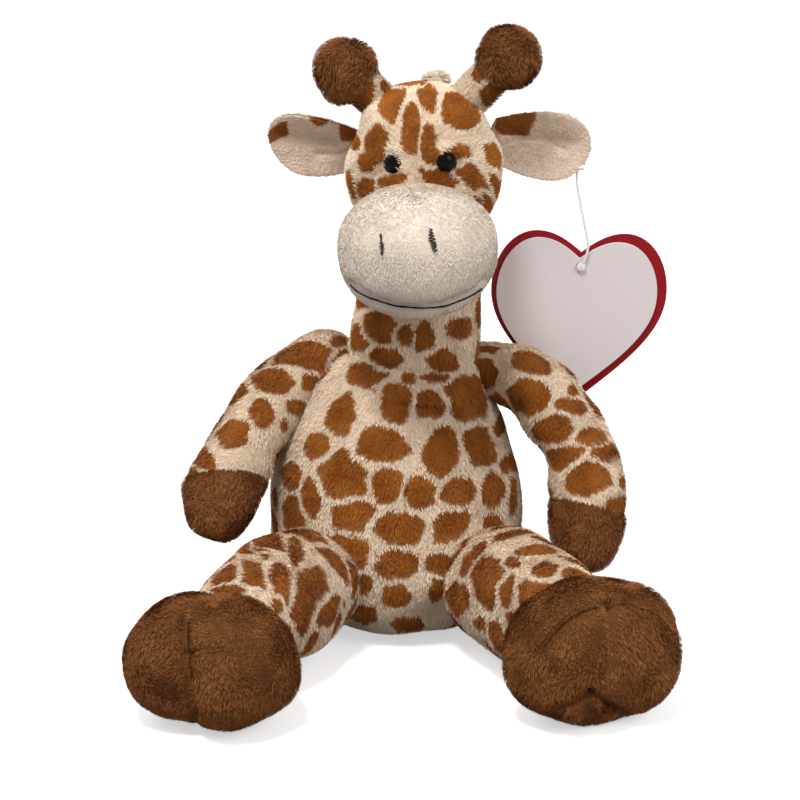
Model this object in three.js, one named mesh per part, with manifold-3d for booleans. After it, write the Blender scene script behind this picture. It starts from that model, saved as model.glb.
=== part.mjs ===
// Plush giraffe, seated with its legs splayed forward. Millimetres, +Z up, the face looks along -Y.
// The origin is the middle of the flat that the body sits on. Left and right are the toy's own: left is +X.
import * as THREE from 'three';
import { mergeVertices } from 'three/addons/utils/BufferGeometryUtils.js';
import Module from 'manifold-3d';

const wasm = await Module();
wasm.setup();

// Clearances and skins
const seamGap = 0.3; // between pieces that are sewn or seated together
const slideGap = 0.6; // between pieces that slide on each other when a joint moves
const pileSkin = 2.6; // plush cloth with its pile
const sitDepth = 0.5; // how deep a form is flattened where it sits
const overrun = 6; // how far a cutter runs past what it cuts

// Body
const torsoHalfWidth = 46;
const torsoHalfDepth = 38;
const torsoHeight = 107;
const bellyHeight = 38; // height of the widest ring
const torsoShiftX = -1.5;
const torsoForwardSet = 6; // the body's middle lies this far in front of the flat's middle
const torsoBlunt = 0.96; // under 1 for fuller shoulders than an ellipse has
const torsoBluntBelow = 0.7;
const neckHoleRadius = 11; // hole in the top of the body skin, under the neck
const pouchHalfWidth = 30; // cloth pouch of pellets in the seat
const pouchHalfDepth = 22;
const pouchHalfHeight = 11;
const pouchFloorGap = 2; // stuffing below the pouch

// Neck
const neckBaseX = 4; // its base stands over the body's middle from front to back
const neckBaseHeight = 96; // where the neck's middle line starts, inside the body's dome
const neckTopHeight = 142;
const neckTopX = 9;
const neckTopY = -2;
const neckBaseRadius = 23.5;
const neckTopRadius = 21;
const neckPathShares = [-0.5, 0, 1, 1.5]; // the form runs on past the base and the top, where it is cut
const neckBendHeight = 75; // the neck bends about a line through the body at this height
const neckBend = 12; // degrees, forwards and back

// Head, in its own frame: origin at the middle of its seat on the neck
const headTurn = -5.5; // degrees about the vertical, towards the toy's right
const headRoll = -1.5; // degrees, the toy's left side up
const headHalfWidth = 28.6;
const headHalfDepth = 29;
const headAbove = 28.5; // from the widest ring to the crown
const headBelow = 31;
const headWidestHeight = 27.5; // over the seat
const headBlunt = 0.95;
const muzzleHalfWidth = 28;
const muzzleHalfDepth = 27;
const muzzleAbove = 21.5;
const muzzleBelow = 24.5;
const muzzleWidestHeight = 8;
const muzzleForward = 41; // middle of the muzzle in front of the skull's middle
const muzzleShiftX = 1;
const muzzleBlunt = 0.92;

// Face
const eyeRadius = 4.3;
const eyeDome = 3.2; // height of the dome over its rim
const eyeSpread = 9.6; // from the middle between the eyes
const eyeShiftX = 1;
const eyeHeight = 33.5;
const eyeShankRadius = 1.3;
const eyeShankLength = 10;
const eyeSeatLift = 0.2; // rim over the skin
const washerRadius = 3.6;
const washerThickness = 1;
const threadRadius = 0.65; // embroidery bundle of the mouth and nostrils
const mouthHalfAngle = 55; // degrees round the muzzle, from the middle to a corner
const mouthMiddleDip = 33; // degrees below the muzzle's widest ring
const mouthCornerDip = 17; // degrees below it
const nostrilSpread = 18; // degrees from the middle line
const nostrilTopRise = 29; // degrees above the widest ring
const nostrilBottomRise = 10; // degrees above it

// Ears, along +X from the root before they are turned
const earLength = 38;
const earHalfWidth = 13;
const earBackThickness = 3.4;
const earLiningThickness = 2.6;
const earCup = 4.5; // how far the edges stand in front of the middle
const earRootX = 22; // root inside the skull, from the middle line
const earRootY = 13;
const earSweep = 14; // degrees back from straight out
// Each ear droops below level and twists about its length by some degrees
const leftEar = { side: 1, rootHeight: 33.3, droop: 9, twist: 0 };
const rightEar = { side: -1, rootHeight: 29.8, droop: -5, twist: 16 };
const earWidestShare = 0.6; // of the length
const earRootWidthShare = 0.62;
const earFlexBack = 25; // degrees
const earFlexForward = 15; // degrees

// Horns
const hornRootX = 14;
const hornRootHeight = 47.5;
const hornRootY = 3;
// Splay in degrees, and length from the root to the ball's middle
const leftHorn = { side: 1, splay: 45, length: 23 };
const rightHorn = { side: -1, splay: 46, length: 17.5 };
const stalkRootRadius = 7.6;
const stalkTipRadius = 7.4;
const hornBallRadius = 11.9;

// Mane, a strip of tan plush down the middle of the skull's back
const maneHalfWidth = 5.2;
const maneHalfHeight = 2.6;
const maneTopAngle = 66; // degrees above level, at the crown
const maneBottomAngle = -20; // degrees

// Arms: each lies its own way, and both have the same girth. The hand's cloth starts at the wrist's share.
const armRootRadius = 12;
const armMiddleRadius = 13.4;
const armWristRadius = 13;
const armHandRadius = 15.4;
const armSkin = 2.2;
const armBlunt = 3.2; // over 2 for an end that is blunter than round
const armSwingForward = 70; // degrees
const armSwingOut = 20; // degrees that the swing's axis is turned, so that the hand clears the leg
const leftArm = {
  side: 1, rootX: 28, rootY: 1, rootHeight: 93, reach: 37, forward: 33, drop: 66, wristShare: 0.76,
};
const rightArm = {
  side: -1, rootX: 26, rootY: 1, rootHeight: 98, reach: 40, forward: 44, drop: 54, wristShare: 0.74,
};
// Shares of reach, forward and drop at points along the arm
const leftArmPathShares = [[0, 0, 0], [0.46, 0.2, 0.04], [0.8, 0.37, 0.23], [1.02, 0.56, 0.47], [1, 1, 1]];
const rightArmPathShares = [[0, 0, 0], [0.3, 0.16, 0.14], [0.6, 0.38, 0.37], [0.84, 0.62, 0.62], [1, 1, 1]];

// Legs
const hipX = 24;
const hipY = -15;
const hipHeight = 23.5;
const ankleHeight = 28.5;
const legHipRadius = 22;
const legAnkleRadius = 18;
const legSkin = 2.4;
const legBlunt = 3;
const legSpreadIn = 18; // degrees that a leg closes inwards
const legSpreadOut = 6; // degrees
const footHalfWidth = 31;
const footHalfDepth = 25;
const footBelow = 21.5;
const footBlunt = 0.88;
const footTurn = 18; // degrees that the toes point outwards
const cleftDepth = 5; // of the cleft in front
const cleftHalfWidth = 9;
const cleftShift = 5; // outwards from the foot's middle
const leftLeg = { side: 1, footX: 64.5, footY: -93, footAbove: 28 };
const rightLeg = { side: -1, footX: 63, footY: -98, footAbove: 23.5 };

// Tail, at the middle of the back
const tailRootHeight = 33;
const tailLength = 30;
const tailRadius = 3.6;
const tailTuftRadius = 5.6;
const tailTuftLength = 15;
const tailLean = 9; // degrees off the upright
const tuftBlunt = 2; // a round end
const tailLift = 70; // degrees that the tail can be lifted
const tailStandOff = 8.6; // how far the tail bends out from its root
const tailBendDrop = 7.2; // height that the bend takes

// Swing tag: two heart-shaped leaves on a clear fastener that hangs from the left ear
const tagWidth = 58;
const tagHeight = 59;
const tagBackWidth = 62;
const tagBackHeight = 62;
const tagLeafThickness = 0.8;
const tagLean = 5.5; // degrees, the lobes lean to the toy's left
const tagHoleRadius = 1.2;
const tagHoleDrop = 3; // hole below the dip between the lobes
// Outline of half a heart from the dip, as shares of half its width and of its height
const heartStartShares = [0, 0];
const heartCurveShares = [
  [0.17, 0.07, 0.32, 0.115, 0.5, 0.115],
  [0.78, 0.115, 1, -0.03, 1, -0.22],
  [1, -0.48, 0.45, -0.68, 0, -0.885],
];
const tagBackShiftX = 2.6;
const tagBackShiftZ = 1.6;
const fastenerRadius = 0.5;
const fastenerDrop = 36.5; // from the ear to the hole
const fastenerHoleShift = 2; // hole to the toy's left of the bar, so that the tag hangs level
const fastenerBow = 2.4;
// Shares of the bow, the hole's shift and the drop along the filament
const fastenerShares = [[0, 0, 0], [0, 0, 0.15], [0.6, 0.5, 0.5], [1, 1, 0.82], [0, 1, 1]];
const fastenerBarLength = 5;
const fastenerBarRadius = 0.8;
const fastenerKnobRadius = 1.7;
const fastenerKnobFlatShare = 0.3; // of its radius, from front to back
const fastenerAlongEarShare = 0.87; // of the ear's length
const fastenerEdgeInset = 2.2; // bar inside the ear's lower edge
const tagSwing = 25; // degrees, outwards

// Fineness of the meshes
const bodySides = 20;
const bodyRings = 12;
const limbSides = 12;
const limbRings = 10;
const liningSides = 10;
const liningRings = 6;
const domeSides = 14;
const domeRings = 5;
const stubRings = 8;
const stubBlunt = 8; // exponent of a limb that is nearly square at its ends
const sweepSteps = 4;

const looks = {
  spottedPlush: { color: 0xdcae80, roughness: 0.95 },
  creamPlush: { color: 0xebdccb, roughness: 0.95 },
  brownPlush: { color: 0x82552f, roughness: 0.95 },
  tanPlush: { color: 0xcdb089, roughness: 0.95 },
  fibre: { color: 0xf4f2ee, roughness: 1 },
  pelletCloth: { color: 0xd9d6cf, roughness: 0.9 },
  blackPlastic: { color: 0x0b0a0c, roughness: 0.08 },
  washerPlastic: { color: 0xdadada, roughness: 0.5 },
  blackThread: { color: 0x1a1412, roughness: 0.8 },
  paleCard: { color: 0xded8da, roughness: 0.5 },
  redCard: { color: 0x8c0f19, roughness: 0.5 },
  clearPlastic: { color: 0xe8eef0, roughness: 0.25 },
};

const degrees = THREE.MathUtils.degToRad;
const upright = new THREE.Vector3(0, 0, 1);
const sideways = new THREE.Vector3(1, 0, 0);
const rearward = new THREE.Vector3(0, 1, 0);
const quarterTurn = 90; // degrees
const behind = 180; // degrees round a ball from its front
const fullTurn = 2 * Math.PI;

// Turns a closed geometry into a solid that can be cut.
function solid(geometry) {
  const bare = geometry.clone();
  bare.deleteAttribute('normal');
  bare.deleteAttribute('uv');
  const merged = mergeVertices(bare);
  const vertProperties = new Float32Array(merged.attributes.position.array);
  const triVerts = new Uint32Array(merged.index.array);
  return new wasm.Manifold(new wasm.Mesh({ numProp: 3, vertProperties, triVerts }));
}

// Turns a solid back into a geometry.
function geometryOf(body) {
  const mesh = body.getMesh();
  const geometry = new THREE.BufferGeometry();
  geometry.setAttribute('position', new THREE.BufferAttribute(new Float32Array(mesh.vertProperties), 3));
  geometry.setIndex(new THREE.BufferAttribute(new Uint32Array(mesh.triVerts), 1));
  geometry.computeVertexNormals();
  return geometry;
}

// Takes each cutter, a geometry, out of a solid.
function cut(body, ...cutters) {
  return cutters.flat().reduce((left, cutter) => left.subtract(solid(cutter)), body);
}

// Shares from one value to another in even steps.
function evenShares(count, from = 0, to = 1) {
  return Array.from({ length: count }, (_, i) => from + ((to - from) * i) / (count - 1));
}

function moved(geometry, matrix) {
  return geometry.clone().applyMatrix4(matrix);
}

function placed(geometry, x, y, z) {
  return moved(geometry, new THREE.Matrix4().makeTranslation(x, y, z));
}

// The matrix of a turn of some degrees about an axis through a point.
function turnAbout(pivot, axis, angle) {
  const there = new THREE.Matrix4().makeTranslation(pivot.x, pivot.y, pivot.z);
  const back = new THREE.Matrix4().makeTranslation(-pivot.x, -pivot.y, -pivot.z);
  const turn = new THREE.Matrix4().makeRotationAxis(axis, degrees(angle));
  return there.multiply(turn).multiply(back);
}

// What a neighbour sweeps, seen from a piece that turns from one angle to another about an axis.
function swept(geometry, pivot, axis, from, to) {
  return evenShares(sweepSteps + 1, from, to).map((angle) => moved(geometry, turnAbout(pivot, axis, -angle)));
}

// Joins rings of points, and a point at each end, into a closed geometry.
function ringedForm(first, rings, last) {
  const sides = rings[0].length;
  const points = [first, ...rings.flat(), last];
  const end = points.length - 1;
  const at = (ring, side) => 1 + ring * sides + (side % sides);
  const index = [];
  for (let side = 0; side < sides; side += 1) {
    index.push(0, at(0, side + 1), at(0, side));
    index.push(end, at(rings.length - 1, side), at(rings.length - 1, side + 1));
    for (let ring = 0; ring < rings.length - 1; ring += 1) {
      index.push(at(ring, side), at(ring, side + 1), at(ring + 1, side));
      index.push(at(ring, side + 1), at(ring + 1, side + 1), at(ring + 1, side));
    }
  }
  const geometry = new THREE.BufferGeometry().setFromPoints(points);
  geometry.setIndex(index);
  return geometry;
}

// A stuffed ball that may be taller above its widest ring than below it. A blunt one has fuller shoulders.
function stuffedBall(form, inset = 0, sides = bodySides, rings = bodyRings) {
  const { halfWidth, halfDepth, above, below, blunt = 1, bluntBelow = blunt } = form;
  const width = halfWidth - inset;
  const depth = halfDepth - inset;
  const heightAt = (share) => (share < 0 ? share * (below - inset) : share * (above - inset));
  const made = [];
  for (let ring = 1; ring < rings; ring += 1) {
    const angle = (Math.PI * ring) / rings;
    const fullness = angle < Math.PI / 2 ? bluntBelow : blunt;
    const rise = -Math.sign(Math.cos(angle)) * Math.abs(Math.cos(angle)) ** fullness;
    const out = Math.sin(angle) ** fullness;
    made.push(Array.from({ length: sides }, (_, side) => {
      const round = (fullTurn * side) / sides;
      return new THREE.Vector3(width * out * Math.cos(round), depth * out * Math.sin(round), heightAt(rise));
    }));
  }
  return ringedForm(new THREE.Vector3(0, 0, heightAt(-1)), made, new THREE.Vector3(0, 0, heightAt(1)));
}

// A point on such a ball's skin, lifted off it. Both angles are in degrees, the first from -Y towards +X.
function onBall({ halfWidth, halfDepth, above, below, blunt = 1 }, around, up, lift = 0) {
  const rise = Math.sin(degrees(up));
  const flat = Math.cos(degrees(up));
  const height = rise < 0 ? below : above;
  const skinShare = Math.sign(rise) * Math.abs(rise) ** blunt;
  const out = flat ** blunt;
  return new THREE.Vector3(
    (halfWidth + lift) * out * Math.sin(degrees(around)),
    -(halfDepth + lift) * out * Math.cos(degrees(around)),
    (height + lift) * skinShare,
  );
}

// A stuffed limb along a path: its radius swells and tapers through the radii, and its ends are rounded.
// The reference is a way that the path never takes, and flatten widens the limb along it.
function stuffedLimb(form, inset = 0, sides = limbSides, rings = limbRings) {
  const { path, radii, reference, blunt, flatten = 1 } = form;
  const line = new THREE.CatmullRomCurve3(path, false, 'centripetal');
  const length = line.getLength();
  const trim = inset / length;
  const pointAt = (share) => {
    const held = THREE.MathUtils.clamp(share, 0, 1);
    return line.getPointAt(held).addScaledVector(line.getTangentAt(held), (share - held) * length);
  };
  const radiusAt = (share) => {
    const place = share * (radii.length - 1);
    const from = Math.min(Math.floor(place), radii.length - 2);
    const ease = THREE.MathUtils.smoothstep(place - from, 0, 1);
    return THREE.MathUtils.lerp(radii[from], radii[from + 1], ease) - inset;
  };
  const made = [];
  for (let ring = 1; ring < rings; ring += 1) {
    const share = (1 - Math.cos((Math.PI * ring) / rings)) / 2;
    const along = THREE.MathUtils.lerp(trim, 1 - trim, share);
    const middle = pointAt(along);
    const ahead = line.getTangentAt(THREE.MathUtils.clamp(along, 0, 1));
    const across = new THREE.Vector3().crossVectors(ahead, reference).normalize();
    const upward = new THREE.Vector3().crossVectors(ahead, across);
    const radius = radiusAt(share) * (1 - Math.abs(2 * share - 1) ** blunt) ** (1 / blunt);
    made.push(Array.from({ length: sides }, (_, side) => {
      const round = (fullTurn * side) / sides;
      return middle.clone()
        .addScaledVector(across, radius * Math.cos(round))
        .addScaledVector(upward, radius * flatten * Math.sin(round));
    }));
  }
  return ringedForm(pointAt(trim), made, pointAt(1 - trim));
}

// A slab that reaches past everything on one side of a plane, given by a point and the way that it faces.
function slabBeyond(point, facing, reach) {
  const slab = new THREE.BoxGeometry(2 * reach, 2 * reach, reach);
  slab.translate(0, 0, reach / 2);
  const turn = new THREE.Quaternion().setFromUnitVectors(upright, facing.clone().normalize());
  slab.applyMatrix4(new THREE.Matrix4().makeRotationFromQuaternion(turn));
  return placed(slab, point.x, point.y, point.z);
}

// A round thread or filament along a path, with flat ends.
function threadAlong(path, radius, steps, sides = 6) {
  const section = new THREE.Shape();
  section.setFromPoints(Array.from({ length: sides }, (_, side) => {
    const round = (fullTurn * side) / sides;
    return new THREE.Vector2(radius * Math.cos(round), radius * Math.sin(round));
  }));
  const line = new THREE.CatmullRomCurve3(path, false, 'centripetal');
  return new THREE.ExtrudeGeometry(section, { extrudePath: line, steps, curveSegments: 1 });
}

function rodAlongX(radius, length, sides) {
  const rod = new THREE.CylinderGeometry(radius, radius, length, sides);
  return rod.rotateZ(Math.PI / 2);
}

const giraffe = new THREE.Group();

function piece(parent, name, body, look) {
  const geometry = body.isBufferGeometry ? body : geometryOf(body);
  const mesh = new THREE.Mesh(geometry, new THREE.MeshStandardMaterial({ ...looks[look], metalness: 0 }));
  mesh.name = name;
  parent.add(mesh);
  return mesh;
}

// Body
const torsoForm = {
  halfWidth: torsoHalfWidth,
  halfDepth: torsoHalfDepth,
  above: torsoHeight - bellyHeight,
  below: bellyHeight + sitDepth,
  blunt: torsoBlunt,
  bluntBelow: torsoBluntBelow,
};
const wholeReach = torsoHeight + neckTopHeight; // longer than anything that a slab cuts
const origin = new THREE.Vector3();
const downward = upright.clone().negate();
const floorSlab = slabBeyond(origin, downward, wholeReach);

function torsoShape(inset, sides, rings) {
  return placed(stuffedBall(torsoForm, inset, sides, rings), torsoShiftX, -torsoForwardSet, bellyHeight);
}

function makeTorso(parent) {
  const neckHole = new THREE.CylinderGeometry(neckHoleRadius, neckHoleRadius, torsoHeight, liningSides);
  neckHole.rotateX(Math.PI / 2).translate(neckBaseX, -torsoForwardSet, torsoHeight);
  const inside = torsoShape(pileSkin, liningSides, liningRings);
  piece(parent, 'torso_skin', cut(solid(torsoShape(0)), inside, neckHole, floorSlab), 'spottedPlush');

  const pouchForm = {
    halfWidth: pouchHalfWidth,
    halfDepth: pouchHalfDepth,
    above: pouchHalfHeight,
    below: pouchHalfHeight,
  };
  const pouchHeight = pileSkin + pouchFloorGap + pouchHalfHeight;
  const pouch = (inset) => {
    const ball = stuffedBall(pouchForm, inset, liningSides, liningRings);
    return placed(ball, 0, -torsoForwardSet, pouchHeight);
  };
  const stuffing = solid(torsoShape(pileSkin + seamGap, liningSides, liningRings));
  const pouchMouth = new THREE.CylinderGeometry(pouchHalfHeight, pouchHalfHeight, pouchHeight, liningSides);
  pouchMouth.rotateX(Math.PI / 2).translate(0, -torsoForwardSet, 0);
  piece(parent, 'torso_stuffing', cut(stuffing, pouch(-seamGap), pouchMouth), 'fibre');
  piece(parent, 'pellet_pouch', pouch(0), 'pelletCloth');
}

// Neck: its foot is hollowed to turn on the body's dome, and its top is square to the head's seat
const neckBase = new THREE.Vector3(neckBaseX, -torsoForwardSet, neckBaseHeight);
const neckPivot = new THREE.Vector3(neckBaseX, -torsoForwardSet, neckBendHeight);
const neckTop = new THREE.Vector3(neckTopX, neckTopY, neckTopHeight);
const headMatrix = new THREE.Matrix4().compose(
  neckTop,
  new THREE.Quaternion().setFromEuler(new THREE.Euler(0, degrees(headRoll), degrees(headTurn))),
  new THREE.Vector3(1, 1, 1),
);

function neckShape(inset, sides) {
  const path = neckPathShares.map((share) => neckBase.clone().lerp(neckTop, share));
  const radii = [neckBaseRadius, neckBaseRadius, neckTopRadius, neckTopRadius];
  return stuffedLimb({ path, radii, reference: rearward, blunt: stubBlunt }, inset, sides, stubRings);
}

// Height of the body's dome at some distance from its middle line
function domeHeightAt(x) {
  const around = Math.asin(Math.min(1, Math.abs(x / torsoHalfWidth)) ** (1 / torsoBlunt));
  return bellyHeight + (torsoHeight - bellyHeight) * Math.cos(around) ** torsoBlunt;
}

// The room that the body's dome needs as the neck bends, turned about the line that it bends on
function domeRoom() {
  const reach = neckBaseRadius + overrun;
  const along = evenShares(liningSides, neckBaseX - reach, neckBaseX + reach);
  const profile = along.map((x) => {
    const radius = Math.max(0, domeHeightAt(x - torsoShiftX) - neckBendHeight) + slideGap;
    return new THREE.Vector2(radius / Math.cos(Math.PI / bodySides), x);
  });
  const closed = [new THREE.Vector2(0, along[0]), ...profile, new THREE.Vector2(0, along[along.length - 1])];
  const room = new THREE.LatheGeometry(closed, bodySides);
  return room.rotateZ(-Math.PI / 2).translate(0, neckPivot.y, neckPivot.z);
}

function makeNeck(parent) {
  const dome = domeRoom();
  const headSeat = moved(slabBeyond(origin, upright, wholeReach), headMatrix);
  const inside = neckShape(pileSkin, liningSides);
  piece(parent, 'neck_skin', cut(solid(neckShape(0, bodySides)), dome, headSeat, inside), 'spottedPlush');
  const stuffing = solid(neckShape(pileSkin + seamGap, liningSides));
  piece(parent, 'neck_stuffing', cut(stuffing, dome, headSeat), 'fibre');
}

// Skull and muzzle
const headForm = {
  halfWidth: headHalfWidth,
  halfDepth: headHalfDepth,
  above: headAbove,
  below: headBelow,
  blunt: headBlunt,
};
const muzzleForm = {
  halfWidth: muzzleHalfWidth,
  halfDepth: muzzleHalfDepth,
  above: muzzleAbove,
  below: muzzleBelow,
  blunt: muzzleBlunt,
};
const headMiddle = new THREE.Vector3(0, 0, headWidestHeight);
const muzzleMiddle = new THREE.Vector3(muzzleShiftX, -muzzleForward, muzzleWidestHeight);
const headSeatSlab = slabBeyond(new THREE.Vector3(0, 0, seamGap), downward, wholeReach);

function headShape(inset, sides, rings) {
  return placed(stuffedBall(headForm, inset, sides, rings), headMiddle.x, headMiddle.y, headMiddle.z);
}

function muzzleShape(inset, sides, rings) {
  return placed(stuffedBall(muzzleForm, inset, sides, rings), muzzleMiddle.x, muzzleMiddle.y, muzzleMiddle.z);
}

// The room that the neck needs under the muzzle as the head turns, about the head's own upright
function neckTurnRoom() {
  const lean = Math.hypot(neckTop.x - neckBase.x, neckTop.y - neckBase.y);
  const topRadius = neckTopRadius + slideGap;
  const baseRadius = neckBaseRadius + slideGap + lean;
  const height = neckTopHeight - neckBaseHeight;
  const room = new THREE.CylinderGeometry(topRadius, baseRadius, height, bodySides);
  return room.rotateX(Math.PI / 2).translate(0, 0, -height / 2);
}

// Eyes: a glossy dome on a shank that passes through the skin and holds a washer behind it
function eyeFrame(side) {
  const up = Math.asin((eyeHeight - headWidestHeight) / headAbove);
  const around = Math.asin((eyeShiftX + side * eyeSpread) / (headHalfWidth * Math.cos(up)));
  const angles = [THREE.MathUtils.radToDeg(around), THREE.MathUtils.radToDeg(up)];
  const seat = onBall(headForm, ...angles, eyeSeatLift);
  const facing = onBall(headForm, ...angles, eyeDome + eyeRadius).sub(seat).normalize();
  const turn = new THREE.Quaternion().setFromUnitVectors(upright, facing);
  return new THREE.Matrix4().compose(seat.add(headMiddle), turn, new THREE.Vector3(1, 1, 1));
}

function eyeShape() {
  const dome = evenShares(domeRings, 0, degrees(quarterTurn)).map((angle) => (
    new THREE.Vector2(eyeRadius * Math.cos(angle), eyeDome * Math.sin(angle))
  ));
  dome.at(-1).x = 0;
  const foot = [[0, -eyeShankLength], [eyeShankRadius, -eyeShankLength], [eyeShankRadius, 0]];
  const profile = [...foot.map(([x, y]) => new THREE.Vector2(x, y)), ...dome];
  return new THREE.LatheGeometry(profile, domeSides).rotateX(Math.PI / 2);
}

function washerShape(gap) {
  const inner = eyeShankRadius + seamGap - gap;
  const outer = washerRadius + gap;
  const low = -eyeShankLength + washerThickness - gap;
  const high = low + washerThickness + 2 * gap;
  const ring = [[inner, low], [outer, low], [outer, high], [inner, high], [inner, low]];
  return new THREE.LatheGeometry(ring.map(([x, y]) => new THREE.Vector2(x, y)), 12).rotateX(Math.PI / 2);
}

function shankHole(gap) {
  const hole = new THREE.CylinderGeometry(eyeShankRadius + gap, eyeShankRadius + gap, 2 * eyeShankLength, 10);
  return hole.rotateX(Math.PI / 2).translate(0, 0, -eyeSeatLift);
}

function washerRoom() {
  const radius = washerRadius + slideGap;
  const length = eyeShankLength + overrun;
  const room = new THREE.CylinderGeometry(radius, radius, length, 12);
  return room.rotateX(Math.PI / 2).translate(0, 0, -length / 2);
}

function makeHead(parent) {
  const eyes = [1, -1].map((side) => ({ name: side > 0 ? 'left' : 'right', frame: eyeFrame(side) }));
  const holes = eyes.map(({ frame }) => moved(shankHole(seamGap), frame));
  const inside = headShape(pileSkin, liningSides, liningRings);
  piece(parent, 'head_skin', cut(solid(headShape(0)), inside, headSeatSlab, holes), 'spottedPlush');
  const stuffing = solid(headShape(pileSkin + seamGap, liningSides, liningRings));
  const washerRooms = eyes.map(({ frame }) => moved(washerRoom(), frame));
  piece(parent, 'head_stuffing', cut(stuffing, headSeatSlab, washerRooms), 'fibre');
  eyes.forEach(({ name, frame }) => {
    piece(parent, `eye_${name}`, moved(eyeShape(), frame), 'blackPlastic');
    piece(parent, `eye_washer_${name}`, moved(washerShape(0), frame), 'washerPlastic');
  });

  const muzzleInside = muzzleShape(pileSkin, liningSides, liningRings);
  const muzzleCutters = [headShape(-seamGap), neckTurnRoom()];
  piece(parent, 'muzzle', cut(solid(muzzleShape(0)), muzzleInside, muzzleCutters), 'creamPlush');
  const muzzleStuffing = solid(muzzleShape(pileSkin + seamGap, liningSides, liningRings));
  piece(parent, 'muzzle_stuffing', cut(muzzleStuffing, muzzleCutters), 'fibre');
}

// Embroidery: bundles of black thread that lie on the muzzle
function makeEmbroidery(parent) {
  const lift = threadRadius + seamGap / 2;
  const onMuzzle = (around, up) => onBall(muzzleForm, around, up, lift).add(muzzleMiddle);
  const mouth = evenShares(9, -1, 1).map((share) => {
    const dip = THREE.MathUtils.lerp(mouthMiddleDip, mouthCornerDip, share * share);
    return onMuzzle(share * mouthHalfAngle, -dip);
  });
  piece(parent, 'mouth_embroidery', threadAlong(mouth, threadRadius, 24), 'blackThread');
  [1, -1].forEach((side) => {
    const name = side > 0 ? 'left' : 'right';
    const rises = evenShares(3, nostrilTopRise, nostrilBottomRise);
    const line = rises.map((up) => onMuzzle(side * nostrilSpread, up));
    piece(parent, `nostril_${name}`, threadAlong(line, threadRadius, 6), 'blackThread');
  });
}

// Ears: a spotted back and a cream lining, cupped forward. Built along +X from the root, lining towards -Y.
function earHalfWidthAt(share) {
  if (share < earWidestShare) {
    const swell = Math.sin((Math.PI * share) / (2 * earWidestShare));
    return earHalfWidth * THREE.MathUtils.lerp(earRootWidthShare, 1, swell);
  }
  return earHalfWidth * Math.sqrt(1 - ((share - earWidestShare) / (1 - earWidestShare)) ** 2);
}

function earCupAt(z) {
  return -earCup * (z / earHalfWidth) ** 2;
}

// One layer, flat on the side of its neighbour and domed on the other. Facing is -1 in front and 1 behind.
function earLayer(thickness, facing) {
  const flat = (facing * seamGap) / 2;
  const rings = Array.from({ length: limbRings - 1 }, (_, i) => {
    const share = (1 - Math.cos((Math.PI * (i + 1)) / limbRings)) / 2;
    const wide = earHalfWidthAt(share);
    const dome = thickness * Math.sin(Math.PI * share) ** 0.5;
    return Array.from({ length: limbSides }, (_unused, side) => {
      const round = (fullTurn * side) / limbSides;
      const z = wide * Math.cos(round);
      const out = facing * Math.max(0, -facing * Math.sin(round)) * dome;
      return new THREE.Vector3(share * earLength, earCupAt(z) + flat + out, z);
    });
  });
  const end = (share) => new THREE.Vector3(share * earLength, flat, 0);
  return ringedForm(end(0), rings, end(1));
}

function earMatrix({ side, rootHeight, droop, twist }) {
  const turn = new THREE.Matrix4().makeRotationZ(degrees(earSweep))
    .multiply(new THREE.Matrix4().makeRotationY(degrees(droop)))
    .multiply(new THREE.Matrix4().makeRotationX(degrees(twist)));
  const there = new THREE.Matrix4().makeTranslation(earRootX, earRootY, rootHeight).multiply(turn);
  return new THREE.Matrix4().makeScale(side, 1, 1).multiply(there);
}

// Mirrored geometry has its faces turned back to point outwards.
function mirrored(geometry, matrix) {
  const result = moved(geometry, matrix);
  if (matrix.determinant() < 0) {
    const index = result.index.array;
    for (let i = 0; i < index.length; i += 3) {
      [index[i], index[i + 1]] = [index[i + 1], index[i]];
    }
  }
  return result;
}

function makeEar(parent, ear, cutters) {
  const name = ear.side > 0 ? 'left' : 'right';
  const group = new THREE.Group();
  parent.add(group);
  const matrix = earMatrix(ear);
  const root = new THREE.Vector3(0, 0, 0).applyMatrix4(matrix);
  const turnAxis = upright.clone().multiplyScalar(-ear.side);
  const skull = swept(headShape(-slideGap), root, turnAxis, -earFlexBack, earFlexForward);
  const back = solid(mirrored(earLayer(earBackThickness, 1), matrix));
  const lining = solid(mirrored(earLayer(earLiningThickness, -1), matrix));
  piece(group, `ear_back_${name}`, cut(back, skull, cutters), 'spottedPlush');
  piece(group, `ear_lining_${name}`, cut(lining, skull, cutters), 'creamPlush');
}

// Horns: a spotted stalk with a brown ball
function makeHorn(parent, { side, splay, length }) {
  const name = side > 0 ? 'left' : 'right';
  const root = new THREE.Vector3(side * hornRootX, hornRootY, hornRootHeight);
  const ahead = new THREE.Vector3(side * Math.sin(degrees(splay)), 0, Math.cos(degrees(splay)));
  const tip = root.clone().addScaledVector(ahead, length);
  const middle = root.clone().lerp(tip, 1 / 2);
  const stalk = stuffedLimb({
    path: [root, middle, tip],
    radii: [stalkRootRadius, stalkTipRadius],
    reference: rearward,
    blunt: stubBlunt,
  }, 0, limbSides, stubRings);
  const ball = (inset) => {
    const sphere = new THREE.SphereGeometry(hornBallRadius - inset, limbSides, limbRings);
    return placed(sphere, tip.x, tip.y, tip.z);
  };
  piece(parent, `horn_stalk_${name}`, cut(solid(stalk), headShape(-seamGap), ball(-seamGap)), 'spottedPlush');
  piece(parent, `horn_ball_${name}`, ball(0), 'brownPlush');
}

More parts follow.
